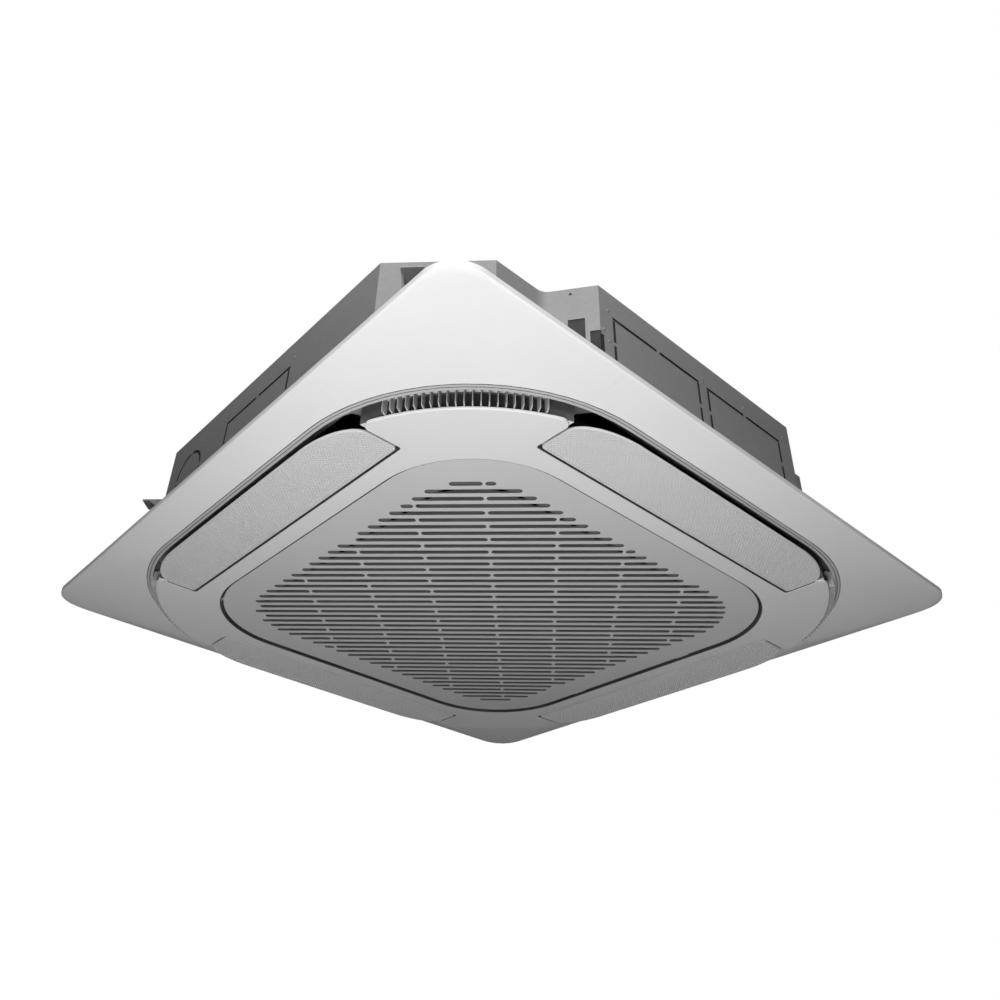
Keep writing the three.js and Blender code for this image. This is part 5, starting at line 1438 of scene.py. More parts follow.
@dataclass
class IntakeGrille:
    """The slotted intake grille with its rim, pegs and guides, and the filter behind it."""

    half: float = 318.2
    radius: float = 140.2
    face: float = 3.4
    plate: float = 2.5
    edge: float = 1.0
    rim_inset: float = 24.0
    rim: float = 2.0
    rim_height: float = 7.0
    field_half: float = 272.0
    field_radius: float = 94.0
    rows: int = 44
    pitch: float = 15.89
    slot: float = 8.0
    flare: float = 0.1
    slot_length: float = 171.0
    bridge: float = 3.7
    stagger: float = 13.5
    shortest: float = 11.0
    hinge_x: float = -306.2
    hinge_height: float = 2.8
    peg: float = 1.3
    peg_root: float = 11.0
    peg_tip: float = 7.0
    catch_y: float = 110.0
    catch_half: float = 11.0
    catch_length: float = 18.0
    catch_thickness: float = 4.5
    guide: float = 1.5
    filter_half: float = 262.0
    filter_radius: float = 84.0
    ledge: float = 2.4
    ledge_root: float = 0.3
    slot_profile: Profile = ((1.0, -1.0), (0.7, 0.0), (0.3, 0.15), (0.07, 0.5), (0.0, 0.8), (0.0, 3.5))
    frame_width: float = 7.0
    frame_height: float = 3.5
    net: float = 0.8
    net_inset: float = 2.0
    rib: float = 0.8
    rib_height: float = 2.2
    spine: float = 1.5
    spine_height: float = 3.0

    def field_reach(self, distance: float) -> float:
        """How far a row of slots reaches to each side, at a distance from the centre.

        Args:
            distance: Distance along the diagonal, not below zero.

        Returns:
            The reach, zero outside the field.
        """
        half, radius = self.field_half, self.field_radius
        centre = (half - radius) * math.sqrt(2)
        if distance < radius * math.sqrt(0.5):
            return centre + math.sqrt(radius**2 - distance**2)
        if distance < (half + half - radius) * math.sqrt(0.5):
            return half * math.sqrt(2) - distance
        return math.sqrt(max(0.0, radius**2 - (distance - centre) ** 2))

    def slots(self) -> list[tuple[float, float, float]]:
        """Every slot, as its row's distance along the diagonal and its two ends across it.

        Returns:
            Tuples of distance, start and end.
        """
        found = []
        pitch = self.slot_length + self.bridge
        for row in range(self.rows):
            distance = (row - (self.rows - 1) / 2) * self.pitch
            reach = self.field_reach(abs(distance))
            first = self.stagger + (0 if row % 2 == 0 else pitch / 2) - 3 * pitch
            for i in range(7):
                start = max(first + i * pitch + self.bridge / 2, -reach)
                end = min(first + (i + 1) * pitch - self.bridge / 2, reach)
                if end - start > self.shortest:
                    found.append((distance, start, end))
        return found

    def slot_cutter(self, distance: float, start: float, end: float) -> bpy.types.Object:
        """The cutter of one slot with round ends, flared at the grille's face.

        Args:
            distance: The row's distance along the diagonal.
            start: The slot's first end.
            end: Its other end.

        Returns:
            The cutter.
        """
        radius = self.slot / 2
        outline = arc(end - radius, 0, radius, -math.pi / 2, math.pi / 2, 8)
        outline += arc(start + radius, 0, radius, math.pi / 2, math.pi * 1.5, 8)
        root = math.sqrt(0.5)
        loops = []
        for grow, z in self.slot_profile:
            ring = []
            for point in inset(outline, -grow):
                along = distance + point.y
                ring.append(Vector((root * (point.x + along), root * (along - point.x), self.face + z)))
            loops.append(ring)
        return loft(loops)

    def catch_guides(self, end: int) -> list[bpy.types.Object]:
        """The two hooked guides of a catch.

        Args:
            end: Which catch, 1 or -1.

        Returns:
            The guides.
        """
        top = self.face + self.plate
        cap = top + SEAT + self.catch_thickness + SEAT
        x0, x1 = self.half - self.catch_length + self.guide, self.half - self.guide * 2
        inner = self.catch_half + SEAT
        parts = []
        for side in (-1, 1):
            for near, z in ((inner, top - 1), (inner - self.guide, cap)):
                a, b = sorted(end * self.catch_y + side * reach for reach in (near, inner + self.guide))
                parts.append(box((x0, a, z), (x1, b, cap + self.guide)))
        return parts

    def build(self, palette: Palette) -> None:
        """Builds the grille and the filter.

        Args:
            palette: The unit's materials.
        """
        top = self.face + self.plate
        plate = loft(rounded_stack(rounded_square(self.half, self.radius), self.face, top, self.edge))
        for material in (palette.grille, palette.slot, palette.duct):
            plate.data.materials.append(material)
        # Painted shade: the upper part of the plate's rounded outer edge and its side go dark grey.
        paint(plate, len(rounded_square(self.half, self.radius)), (1, 2, 3, 4), 2)
        cutters = gathered([self.slot_cutter(*slot) for slot in self.slots()])
        # The slots' walls take this dark grey, painted shade.
        cutters.data.materials.append(palette.slot)
        cut(plate, cutters, Cut.AWAY)
        rim_half, rim_radius = self.half - self.rim_inset, self.radius - self.rim_inset
        outer = rounded_square(rim_half, rim_radius)
        inner = rounded_square(rim_half - self.rim, rim_radius - self.rim)
        cut(plate, wall_between(outer, inner, top - 1, top + self.rim_height), Cut.TOGETHER)
        cut(plate, self.filter_ledge(palette), Cut.TOGETHER)
        opening = CentrePanel().hinge_opening()
        for side in (-1, 1):
            root, tip = side * (opening - self.peg_root), side * (opening + self.peg_tip)
            ends = [Vector((self.hinge_x, y, self.hinge_height)) for y in (root, tip)]
            cut(plate, rod(*ends, self.peg, 20), Cut.TOGETHER)
            for part in self.catch_guides(side):
                cut(plate, part, Cut.TOGETHER)
        materials = [palette.grille, palette.slot, palette.duct]
        plate = place(plate, "intake_grille_moulding", "grille", materials, ["intake_grille"])
        # Faces at the slots' flared mouths go back to the grille's colour; the painted shade stays on the
        # walls inside.
        for face in plate.data.polygons:
            if face.material_index == 1 and face.center.z < (self.face + self.flare) * MM:
                face.material_index = 0
        self.filter(palette)

    def filter_ledge(self, palette: Palette) -> bpy.types.Object:
        """The ledge inside the rim that closes the gap round the filter.

        Args:
            palette: The unit's materials.

        Returns:
            The ledge.
        """
        wide = self.rim_inset + self.rim / 2
        near = self.half - self.filter_half - SEAT
        outer = rounded_square(self.half - wide, self.radius - wide)
        inner = rounded_square(self.half - near, self.radius - near)
        top = self.face + self.plate
        ledge = wall_between(outer, inner, top - self.ledge_root, top + self.ledge)
        # The ledge takes the slots' dark grey, painted shade.
        ledge.data.materials.append(palette.slot)
        return ledge

    def filter(self, palette: Palette) -> None:
        """The filter: a net held in a ribbed frame.

        Args:
            palette: The unit's materials.
        """
        bottom = self.face + self.plate + SEAT
        outline = rounded_square(self.filter_half, self.filter_radius, 12)
        inner_half, inner_radius = self.filter_half - self.frame_width, self.filter_radius - self.frame_width
        net = prism(inset(outline, self.net_inset), bottom, bottom + self.net)
        place(net, "filter_net_sheet", "grille", [palette.net], ["pre_filter"])
        inner = rounded_square(inner_half, inner_radius, 12)
        border = wall_between(outline, inner, bottom, bottom + self.frame_height)
        reach = self.filter_half - 6
        for i in range(1, 6):
            at = -self.filter_half + i * self.filter_half / 3
            width, height = (self.spine, self.spine_height) if i == 3 else (self.rib, self.rib_height)
            short = reach - (0 if i in (2, 3, 4) else 6)
            low, high = bottom + 0.2, bottom + height
            cut(border, box((at - width, -short, low), (at + width, short, high)), Cut.TOGETHER)
            cut(border, box((-short, at - width, low), (short, at + width, high)), Cut.TOGETHER)
        # The frame takes the slots' dark grey, painted shade.
        place(border, "filter_frame", "grille", [palette.slot])


# ------------------------------------------------------------------ vanes


@dataclass
class OutletVane:
    """One outlet vane with its perforated field, bearing lugs and pin."""

    turn: int
    inner: float = 350.0
    outer: float = 426.0
    length: float = 478.0
    thickness: float = 3.2
    bow: float = 30000.0
    inner_radius: float = 6.0
    end_depth: float = 37.0
    end_run: float = 84.0
    border: float = 2.2
    step: float = 0.5
    edge_top: float = 0.9
    bevel: float = 0.4
    rib: float = 1.5
    recess: float = 0.25
    pit_depth: float = 1.2
    column: float = 3.5
    row: float = 4.0
    pit_across: float = 2.3
    pit_along: float = 3.2
    axis_in: float = 356.0
    axis_height: float = 6.2
    lug: float = 8.0
    lug_radius: float = 4.6
    pin_radius: float = 2.2
    pin: float = 4.5
    socket: float = 2.15

    def outline(self, shrink: float) -> Loop:
        """The vane's outline on the +X side, drawn in by a distance.

        Args:
            shrink: How far it is drawn in.

        Returns:
            The outline, anticlockwise.
        """
        half = self.length / 2 - shrink
        x0 = self.inner + shrink
        r0 = max(self.inner_radius - shrink, 0.5)
        run, depth = self.end_run - shrink, self.end_depth - shrink
        y1 = half - run
        edge = self.outer - shrink - self.bow + math.sqrt(self.bow**2 - y1 * y1)
        middle = []
        for i in range(1, 24):
            y = -y1 + 2 * y1 * i / 24
            middle.append(Vector((self.outer - shrink - self.bow + math.sqrt(self.bow**2 - y * y), y)))

        def shoulder(side: int, first: float, last: float) -> Loop:
            """The rounded outer corner at one end, longer than it is deep."""
            points = arc(0, 0, 1.0, first, last, 16)
            return [Vector((edge - depth + depth * p.x, side * y1 + run * p.y)) for p in points]

        return (
            arc(x0 + r0, -half + r0, r0, math.pi, math.pi * 1.5, 8)
            + shoulder(-1, -math.pi / 2, 0)
            + middle
            + shoulder(1, 0, math.pi / 2)
            + arc(x0 + r0, half - r0, r0, math.pi / 2, math.pi, 8)
        )

    def pits(self) -> bpy.types.Object:
        """Cutters of the field's perforations, in rows along the panel's diagonals.

        Returns:
            All the cutters as one object.
        """
        root = math.sqrt(0.5)
        half_a, half_b = self.pit_across / 2, self.pit_along / 2
        turn_back = -self.turn
        points: list[Vector] = []
        faces: list[Sequence[int]] = []
        reach = int(500 / min(self.column, self.row))
        top = self.recess + self.pit_depth
        for i in range(-reach, reach + 1):
            for j in range(-reach, reach + 1):
                e, d = i * self.column, j * self.row
                middle = turn_point(Vector((root * (d + e), root * (d - e))), turn_back)
                if not (self.inner < middle.x < self.outer and abs(middle.y) < self.length / 2):
                    continue
                ring = []
                for de, dd in ((-half_a, -half_b), (half_a, -half_b), (half_a, half_b), (-half_a, half_b)):
                    world = Vector((root * (d + dd + e + de), root * (d + dd - e - de)))
                    ring.append(turn_point(world, turn_back))
                base = len(points)
                points += raised(ring, -1.0) + raised(ring, top)
                faces.append((base, base + 1, base + 2, base + 3))
                faces.append((base + 7, base + 6, base + 5, base + 4))
                for k in range(4):
                    n = (k + 1) % 4
                    faces.append((base + k, base + n, base + 4 + n, base + 4 + k))
        return mesh_object(points, faces)

    def build(self, palette: Palette) -> None:
        """Builds the vane.

        Args:
            palette: The unit's materials.
        """
        blade = loft(
            [
                raised(self.outline(self.border + self.step), self.recess),
                raised(self.outline(self.border), self.recess),
                raised(self.outline(self.border - self.step), 0.0),
                raised(self.outline(1.1), 0.0),
                raised(self.outline(0.45), 0.25),
                raised(self.outline(0.0), self.edge_top),
                raised(self.outline(0.0), self.thickness - self.bevel),
                raised(self.outline(self.bevel), self.thickness),
            ]
        )
        blade.data.materials.append(palette.vane)
        pits = self.pits()
        cut(pits, prism(self.outline(self.border + 0.4), -2, self.thickness), Cut.WITHIN)
        # The pits' faces take the near-black, painted shade in the holes.
        pits.data.materials.append(palette.mesh)
        cut(blade, pits, Cut.AWAY)
        half = self.length / 2

        def axis(y: float) -> Vector:
            """The point of the vane's axis at a distance along it."""
            return Vector((self.axis_in, y, self.axis_height))

        for end in (-1, 1):
            cut(blade, rod(axis(end * half), axis(end * (half - self.lug)), self.lug_radius), Cut.TOGETHER)
        end = half - self.lug / 2
        low = (self.axis_in - self.rib, -end, self.edge_top)
        rib = box(low, (self.axis_in + self.rib, end, self.axis_height + 1))
        cut(blade, rib, Cut.TOGETHER)
        cut(blade, rod(axis(-half + 1), axis(-half - self.pin), self.pin_radius), Cut.TOGETHER)
        cut(blade, rod(axis(half - self.lug + 2), axis(half + 1), self.socket), Cut.AWAY)
        turned(blade, self.turn)
        name = f"vane_{self.turn + 1}"
        place(blade, name + "_blade", name, [palette.vane, palette.mesh], [name], 30.0)


# ------------------------------------------------------------------ sheet-metal body


@dataclass
class SteelBody:
    """The folded sheet-metal body with its knock-outs, windows and screws."""

    half: float = 420.0
    top: float = 217.0
    bottom: float = 35.3
    sheet: float = 1.5
    recess: float = 366.0
    slant_run: float = 33.0
    slant_drop: float = 45.5
    bend: float = 10.0
    dish_radius: float = 112.0
    dish_depth: float = 4.0
    near_wall: float = 270.0
    near_proud: float = 210.0
    side_wall: float = 252.0
    side_proud: float = 186.0
    slit: float = 4.4
    slit_depth: float = 1.2
    bridge: float = 6.0
    knock_bottom: float = 98.0
    front_knock_outs: tuple[tuple[float, float, float, float], ...] = (
        (-185, -24, 178, -103),
        (-4, 155, 177, 77),
    )
    side_knock_out: tuple[float, float, float, float] = (-78, 82, 175.5, 3)
    round_knock_out: tuple[float, float, float] = (-185, 145, 35)
    cable_window: tuple[float, float, float, float] = (19, 39, 120, 166.5)
    small_hole: tuple[float, float, float] = (23, 208, 2.0)
    notch: tuple[float, float] = (12, 145)
    front_notch: tuple[float, float] = (6, 140)
    pipe_holes: Profile = ((306.0, 8.55), (276.0, 5.35))
    pipe_height: float = 180.0
    drain_hole: tuple[float, float, float] = (235, 140, 13.6)
    front_screws: Profile = ((-195, 185), (-204, 150), (-196, 136), (-13, 189), (77, 191), (168, 189))
    side_screws: Profile = ((-91, 187), (-1, 188), (88, 187), (148, 183))
    screw: Profile = ((0.0, 2.3), (0.7, 2.2), (1.1, 1.6), (1.3, 0.7))
    screw_cross: Profile = ((1.1, 0.25), (0.25, 1.1))

    def plan(self, steps: int = 10) -> Loop:
        """The plan of the body, anticlockwise, from the corner at -X -Y.

        Args:
            steps: Steps round a bend.

        Returns:
            The outline.
        """

        def corner(wall_end: float, proud_end: float) -> Loop:
            """One corner, from a straight wall over the chamfer and the bend to the proud wall.

            Args:
                wall_end: Where the straight wall ends.
                proud_end: Where the proud wall begins.

            Returns:
                The corner's points in order.
            """
            chamfer = self.recess - wall_end
            slant_x, slant_y = proud_end + self.slant_run, self.half - self.slant_drop
            meet = slant_x + (slant_y - self.recess) * self.slant_run / self.slant_drop
            a, b = Vector((meet + self.bend, self.recess)), Vector((meet, self.recess))
            c = Vector((slant_x, slant_y))
            curve = []
            for i in range(steps + 1):
                t = i / steps
                curve.append(a * (1 - t) ** 2 + b * (2 * t * (1 - t)) + c * t**2)
            start = [Vector((self.half, wall_end)), Vector((self.half - chamfer, self.recess))]
            return start + curve + [Vector((proud_end, self.half))]

        near = [-point for point in corner(self.near_wall, self.near_proud)]
        side = [Vector((p.x, -p.y)) for p in reversed(corner(self.side_wall, self.side_proud))]
        front = near + side
        return front + [-point for point in front]

    def rectangle_slits(self, start: float, end: float, top: float, split: float) -> list[bpy.types.Object]:
        """Slits round a rectangular knock-out on the wall that faces -Y.

        Args:
            start: The knock-out's first side.
            end: Its other side.
            top: Its upper side.
            split: Where its upper slit is split.

        Returns:
            The slits' cutters.
        """
        half, gap = self.slit / 2, self.bridge / 2
        bottom = self.knock_bottom
        middle = (top + bottom) / 2
        y0, y1 = -self.half - 1, -self.half + self.slit_depth
        slits = []
        for z in (top, bottom):
            slits.append(box((start - half, y0, z - half), (split - gap, y1, z + half)))
            slits.append(box((split + gap, y0, z - half), (end + half, y1, z + half)))
        for x in (start, end):
            slits.append(box((x - half, y0, bottom + gap), (x + half, y1, middle - gap)))
            slits.append(box((x - half, y0, middle + gap), (x + half, y1, top - gap)))
        return slits

    def round_slits(self, along: float, height: float, radius: float) -> list[bpy.types.Object]:
        """Slits round a circular knock-out on the wall that faces -Y.

        Args:
            along: The centre's place along the wall.
            height: The centre's height.
            radius: The knock-out's radius.

        Returns:
            The slits' cutters.
        """
        gap = self.bridge / 2 / radius
        slits = []
        for i in range(4):
            start, end = i * math.pi / 2 + gap, (i + 1) * math.pi / 2 - gap
            flat = arc(0, 0, radius + self.slit / 2, start, end, 12)
            flat += arc(0, 0, radius - self.slit / 2, end, start, 12)
            near = [Vector((along + p.x, -self.half - 1, height + p.y)) for p in flat]
            far = [Vector((p.x, -self.half + self.slit_depth, p.z)) for p in near]
            slits.append(loft([near, far]))
        return slits

    def corner_cuts(self) -> list[bpy.types.Object]:
        """The cable window, the small hole and the notch beside the near corner.

        Returns:
            Their cutters.
        """
        start = Vector((-(self.near_proud + self.slant_run), -(self.half - self.slant_drop), 0))
        end = Vector((-self.near_proud, -self.half, 0))
        along = (end - start).normalized()
        normal = Vector((along.y, -along.x, 0))
        turn = Matrix.Translation(start * MM) @ Matrix.Rotation(math.atan2(along.y, along.x), 4, "Z")
        left, right, low, high = self.cable_window
        window = box((left, -5, low), (right, self.slit_depth, high))
        window.data.transform(turn)
        away, height, radius = self.small_hole
        at = start + along * away
        at.z = height
        hole = rod(at + normal * 4, at - normal * 4, radius, 16)
        length, low = (end - start).length, self.bottom - 1
        width, high = self.notch
        notch = box((length - width, -4, low), (length + 2, self.slit_depth, high))
        notch.data.transform(turn)
        width, high = self.front_notch
        front = box((end.x - 2, end.y - 4, low), (end.x + width, end.y + self.slit_depth, high))
        return [window, hole, notch, front]

    def service_holes(self) -> list[bpy.types.Object]:
        """Holes of the pipes and the drain.

        Returns:
            Their cutters.
        """
        holes = []
        for x, radius in self.pipe_holes:
            ends = [Vector((x, self.recess + y, self.pipe_height)) for y in (-30, 10)]
            holes.append(rod(*ends, radius))
        along, height, radius = self.drain_hole
        holes.append(rod(*(Vector((self.half + x, along, height)) for x in (-30, 10)), radius))
        return holes

    def build(self, palette: Palette) -> None:
        """Builds the body and its screws.

        Args:
            palette: The unit's materials.
        """
        plan = self.plan()
        shell = prism(plan, self.bottom, self.top)
        cut(shell, prism(inset(plan, self.sheet), self.bottom - 1, self.top - self.sheet), Cut.AWAY)
        roof = self.top - self.sheet
        low = roof - self.dish_depth
        cut(shell, rod(Vector((0, 0, low)), Vector((0, 0, roof + 0.5)), self.dish_radius, 64), Cut.TOGETHER)
        inner = self.dish_radius - self.sheet
        ends = [Vector((0, 0, self.top - self.dish_depth)), Vector((0, 0, self.top + 1))]
        cut(shell, rod(*ends, inner, 64), Cut.AWAY)
        front = [slit for knock_out in self.front_knock_outs for slit in self.rectangle_slits(*knock_out)]
        side = self.rectangle_slits(*self.side_knock_out) + self.round_slits(*self.round_knock_out)
        cutters = front + [turned(slit, -1) for slit in side] + self.corner_cuts() + self.service_holes()
        shell.data.materials.append(palette.steel)
        # Painted shade: the cutters leave their near-black on the faces they cut, in the shallow pockets that
        # stand in for through-slits and windows, and on the holes' walls.
        for cutter in cutters:
            cutter.data.materials.append(palette.recess_shade)
            cut(shell, cutter, Cut.AWAY)
        place(shell, "steel_body", "unit", [palette.steel, palette.recess_shade], ["casing"])
        self.screws(palette)

    def screws(self, palette: Palette) -> None:
        """Pan-head screws with cross recesses on all four walls.

        Args:
            palette: The unit's materials.
        """
        heads = []
        front, side = self.front_screws, self.side_screws
        for turn, spots in ((0, front), (3, [(-y, z) for y, z in side]), (2, front), (1, side)):
            for along, z in spots:
                heads.append(turned(self.screw_head(along, z), turn))
        place(gathered(heads), "body_screws", "unit", [palette.bracket])

    def screw_head(self, along: float, z: float) -> bpy.types.Object:
        """A pan head on the wall that faces -Y.

        Args:
            along: Its place along the wall.
            z: Its height.

        Returns:
            The head.
        """
        face = -self.half - 0.05
        loops = []
        for out, radius in self.screw:
            ring = arc(0, 0, radius, 0, math.tau, 16)[:-1]
            loops.append([Vector((along + p.x, face - out, z + p.y)) for p in ring])
        head = loft(loops)
        for a, b in self.screw_cross:
            cut(head, box((along - a, face - 3, z - b), (along + a, face - 0.7, z + b)), Cut.AWAY)
        return head


# ------------------------------------------------------------------ air path


@dataclass
class AirPath:
    """The bell mouth and the turbo fan, with finer curves than the solids."""

    mouth: float = 222.0
    throat: float = 178.0
    plate_low: float = 38.0
    plate: float = 2.5
    throat_top: float = 84.0
    lip: float = 5.0
    wall: float = 2.2
    hole: float = 287.7
    hole_radius: float = 29.7
    box_half: float = 130.3
    box_low: float = 228.7
    box_high: float = 285.3
    radius: float = 235.0
    inlet: float = 186.0
    shroud_bottom: float = 80.0
    shroud_top: float = 106.0
    back: float = 188.0
    skin: float = 2.4
    hub_bottom: float = 112.0
    hub_radius: float = 60.0
    dome_radius: float = 120.0
    boss: float = 15.0
    boss_bottom: float = 104.0
    boss_top: float = 124.0
    bore: float = 6.15
    blades: int = 7
    blade_in: float = 148.0
    sweep: float = 34.0
    blade_thickness: float = 9.0
    blade_edge: float = 0.7
    foot: float = 95.0
    facets: int = 12

    def quarter(self, a: tuple[float, float], b: tuple[float, float]) -> list[tuple[float, float]]:
        """Points of a quarter ellipse from one (radius, height) to another.

        Args:
            a: The point where the ellipse runs level.
            b: The point where it runs upright.

        Returns:
            The points in order.
        """
        points = []
        for i in range(self.facets + 1):
            angle = i / self.facets * math.pi / 2
            radius = b[0] + (a[0] - b[0]) * (1 - math.sin(angle))
            points.append((radius, a[1] + (b[1] - a[1]) * (1 - math.cos(angle))))
        return points

    def bell_mouth(self, palette: Palette) -> None:
        """The plate with its flared throat.

        Args:
            palette: The unit's materials.
        """
        top = self.plate_low + self.plate
        plate = prism(rounded_square(self.hole, self.hole_radius, 10), self.plate_low, top)
        cut(plate, rod(Vector((0, 0, 30)), Vector((0, 0, 50)), self.mouth - 1, 96), Cut.AWAY)
        low = (-self.box_half, self.box_low, self.plate_low - 1)
        cut(plate, box(low, (self.box_half, self.box_high, top + 1)), Cut.AWAY)
        skin = self.quarter((self.mouth, self.plate_low), (self.throat, self.throat_top))
        back = self.quarter((self.mouth, top), (self.throat + self.wall, self.throat_top))[::-1]
        lip = [(radius, self.throat_top + self.lip) for radius in (self.throat, self.throat + self.wall)]
        cut(plate, lathe(skin + lip + back), Cut.TOGETHER)
        place(plate, "bell_mouth_moulding", "unit", [palette.fan], ["bell_mouth"])

    def blade_outline(self) -> Loop:
        """The outline of one blade, swept back.

        Returns:
            The outline as a loop.
        """
        steps = self.facets
        sweep = math.radians(self.sweep)

        def spot(share: float) -> Vector:
            """The point of the blade's middle line at a share of its length.

            Args:
                share: Share of the blade's length.

            Returns:
                The point.
            """
            reach = self.blade_in + (self.radius - 2 - self.blade_in) * share
            angle = -sweep * share**1.15
            return Vector((reach * math.cos(angle), reach * math.sin(angle)))

        upper, lower = [], []
        for i in range(steps + 1):
            share = i / steps
            at = spot(share)
            ahead = (spot(min(share + 0.01, 1.01)) - at).normalized()
            normal = Vector((-ahead.y, ahead.x))
            thick = self.blade_edge
            if 0 < i < steps:
                swell = math.sin(math.pi * math.sqrt(share)) ** 0.8
                thick = self.blade_thickness / 2 * swell + self.blade_edge
            upper.append(at + normal * thick)
            lower.append(at - normal * thick)
        return upper + lower[::-1]

    def turbo_fan(self, palette: Palette) -> None:
        """Back plate, shroud and blades.

        Args:
            palette: The unit's materials.
        """

        def dome(shift: float) -> list[tuple[float, float]]:
            """The hub's and back plate's line of (radius, height), shifted up.

            Args:
                shift: How far up.

            Returns:
                The line's points in order.
            """
            rows = [
                (self.boss, self.hub_bottom),
                (self.hub_radius, self.hub_bottom),
                (self.hub_radius + 8, self.hub_bottom + 3),
                (self.hub_radius + 14, self.hub_bottom + 8),
                (self.dome_radius - 14, self.back - 16),
                (self.dome_radius - 6, self.back - 8),
                (self.dome_radius, self.back - 4),
                (self.dome_radius + 14, self.back),
                (self.radius, self.back),
            ]
            return [(r, z + shift) for r, z in rows]

        whole = lathe(dome(0) + dome(self.skin)[::-1])
        collar, low, high = self.boss + 1, self.boss_bottom, self.boss_top
        boss = lathe([(self.bore, low), (collar, low), (collar, high), (self.bore, high)], 40)
        cut(whole, boss, Cut.TOGETHER)
        mouth = self.quarter((self.radius, self.shroud_top), (self.inlet, self.shroud_bottom))
        outer = (self.radius, self.shroud_top + self.skin)
        upper = self.quarter(outer, (self.inlet + self.skin, self.shroud_bottom))[::-1]
        cut(whole, lathe(mouth + upper), Cut.TOGETHER)
        half_skin = self.skin / 2
        outer = (self.radius, self.shroud_top + half_skin)
        curve = self.quarter(outer, (self.inlet + half_skin, self.shroud_bottom))
        rows = [(self.inlet + half_skin, self.foot)] + [p for p in curve if p[1] > self.foot][::-1]
        rows += [(self.radius, self.back + half_skin), (self.dome_radius + 14, self.back + half_skin)]
        rows += [(self.dome_radius, self.back - 4 + half_skin), (self.dome_radius, self.foot)]
        blade = prism(self.blade_outline(), self.shroud_bottom, self.back + self.skin)
        cut(blade, lathe(rows), Cut.WITHIN)
        for i in range(self.blades):
            part = copied(blade)
            part.data.transform(Matrix.Rotation(i * math.tau / self.blades, 4, "Z"))
            cut(whole, part, Cut.TOGETHER)
        bpy.data.objects.remove(blade)
        place(whole, "turbo_fan_moulding", "fan", [palette.fan], ["turbo_fan"])

    def build(self, palette: Palette) -> None:
        """Builds both."""
        self.bell_mouth(palette)
        self.turbo_fan(palette)


# ------------------------------------------------------------------ pieces that keep their solids


class CarriedParts:
    """The solids whose own shape is right: each gets its finish."""

    def __init__(self, palette: Palette) -> None:
        """Lists the nodes of each finish.

        Args:
            palette: The unit's materials.
        """
        four, three, two = range(1, 5), range(1, 4), range(1, 3)
        self.groups: list[tuple[bpy.types.Material, list[str]]] = [
            (palette.bracket, [f"hanger_bracket_{i}" for i in four]),
            (palette.steel, ["pipe_plate", "control_box", "control_cover", "fan_motor"]),
            (palette.foam, ["casing_liner", "drain_pan"]),
            (palette.black, [f"vane_motor_{i}" for i in four] + [f"grille_catch_{i}" for i in two]),
            (palette.black, ["drain_pump", "float_guide", "terminal_block"]),
            (palette.rubber, [f"motor_mount_{i}" for i in three] + ["drain_plug", "cable_bush"]),
            (palette.fins, ["coil"]),
            (palette.copper, ["return_bends", "coil_header", "gas_pipe", "liquid_pipe"]),
            (palette.brass, ["gas_flare_nut", "liquid_flare_nut", "fan_nut"]),
            (palette.fan, ["drain_tube", "float"]),
            (palette.board, ["control_board"]),
        ]

    def build(self) -> None:
        """Dresses every node."""
        for material, names in self.groups:
            for name in names:
                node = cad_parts[name]
                node.data.materials.clear()
                node.data.materials.append(material)
                LOG.info("%s: carried over", name)


# ------------------------------------------------------------------ studio


@dataclass(frozen=True)
class Lamp:
    """A square soft light, its places in metres."""

    name: str
    at: tuple[float, float, float]
    aim: tuple[float, float, float]
    size: float
    power: float
    spread: float = 180.0

    def build(self) -> None:
        """Hangs the lamp, out of the camera's sight."""
        data = bpy.data.lights.new(self.name, "AREA")
        data.size = self.size
        data.energy = self.power
        data.spread = math.radians(self.spread)
        lamp = bpy.data.objects.new(self.name, data)
        lamp.location = self.at
        lamp.rotation_euler = (Vector(self.aim) - Vector(self.at)).to_track_quat("-Z", "Y").to_euler()
        lamp.visible_camera = False
        bpy.context.scene.collection.objects.link(lamp)


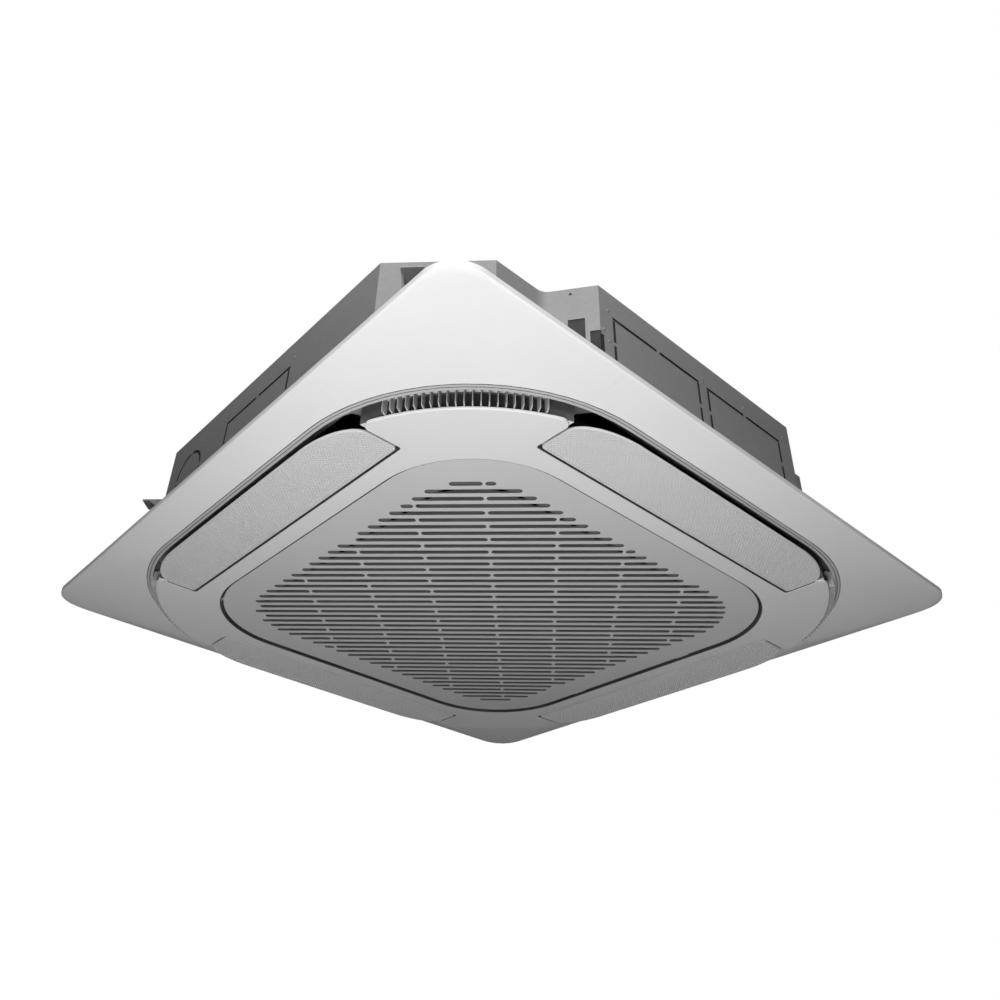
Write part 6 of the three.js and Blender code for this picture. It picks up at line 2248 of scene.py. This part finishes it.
@dataclass
class Studio:
    """The floor, the soft lights, the pale surroundings and the camera."""

    eye: tuple[float, float, float] = (-0.81931, -0.92328, -0.60533)
    azimuth: float = 39.950
    elevation: float = 32.762
    roll: float = 2.460
    lens: float = 33.313
    shift: tuple[float, float] = (0.03294, 0.00797)
    floor: float = -1.25
    floor_half: float = 4.0
    floor_grey: float = 0.8
    floor_glow: float = 0.6
    ambient: float = 0.03
    lamps: tuple[Lamp, ...] = (
        Lamp("key", (-0.72, -0.67, -0.97), (-0.50, -0.57, 0.02), 0.4, 12.5),
        Lamp("side", (-1.18, -1.28, 0.34), (-0.25, -0.45, 0.12), 0.5, 4.7, 100.0),
        Lamp("back", (1.30, 1.20, 0.50), (0.40, 0.40, 0.12), 0.6, 3.0, 100.0),
        Lamp("roof", (-0.60, -0.40, 2.20), (0.00, 0.00, 0.10), 1.0, 2.9, 60.0),
    )

    def camera(self) -> None:
        """The photograph's viewpoint."""
        az, el, ro = (math.radians(v) for v in (self.azimuth, self.elevation, self.roll))
        ahead = Vector((math.cos(el) * math.sin(az), math.cos(el) * math.cos(az), math.sin(el)))
        right = ahead.cross(Vector((0, 0, 1))).normalized()
        up = right.cross(ahead)
        right2 = right * math.cos(ro) + up * math.sin(ro)
        up2 = up * math.cos(ro) - right * math.sin(ro)
        data = bpy.data.cameras.new("camera")
        data.lens = self.lens
        data.shift_x, data.shift_y = self.shift
        data.clip_end = 50
        camera = bpy.data.objects.new("camera", data)
        basis = Matrix((right2, up2, -ahead)).transposed().to_4x4()
        camera.matrix_world = Matrix.Translation(Vector(self.eye)) @ basis
        bpy.context.scene.collection.objects.link(camera)
        bpy.context.scene.camera = camera

    def backdrop(self) -> None:
        """A pale floor below, and white surroundings for what the camera sees directly."""
        size = self.floor_half / MM
        points = raised(four_fold([Vector((size, size))]), self.floor / MM)
        floor = mesh_object(points, [(0, 1, 2, 3)], "studio_floor")
        material = bpy.data.materials.new("studio_floor")
        material.use_nodes = True
        shader = material.node_tree.nodes["Principled BSDF"]
        shader.inputs["Base Color"].default_value = grey(self.floor_grey)
        shader.inputs["Roughness"].default_value = 0.9
        shader.inputs["Emission Color"].default_value = grey(1.0)
        sketch = Sketch(material.node_tree)
        path = sketch.add("ShaderNodeLightPath").outputs
        glow = sketch.math("MULTIPLY", path["Is Camera Ray"], self.floor_glow)
        material.node_tree.links.new(glow, shader.inputs["Emission Strength"])
        floor.data.materials.append(material)
        world = bpy.data.worlds.new("studio")
        bpy.context.scene.world = world
        world.use_nodes = True
        sketch = Sketch(world.node_tree)
        path = sketch.add("ShaderNodeLightPath").outputs
        strength = sketch.math("MULTIPLY_ADD", path["Is Camera Ray"], 1.0 - self.ambient, self.ambient)
        background = world.node_tree.nodes["Background"]
        background.inputs["Color"].default_value = grey(1.0)
        world.node_tree.links.new(strength, background.inputs["Strength"])

    def build(self) -> None:
        """Sets the studio up."""
        self.camera()
        self.backdrop()
        for lamp in self.lamps:
            lamp.build()
        bpy.context.scene.view_settings.view_transform = "Standard"


def main() -> None:
    """Builds every sub-assembly in order."""
    logging.basicConfig(level=logging.INFO, format="%(message)s")
    Studio().build()
    palette = Palette()
    PanelFrame().build(palette)
    CentrePanel().build(palette)
    IntakeGrille().build(palette)
    for turn in TURNS:
        OutletVane(turn).build(palette)
    SteelBody().build(palette)
    AirPath().build(palette)
    CarriedParts(palette).build()


if __name__ == "__main__":
    main()
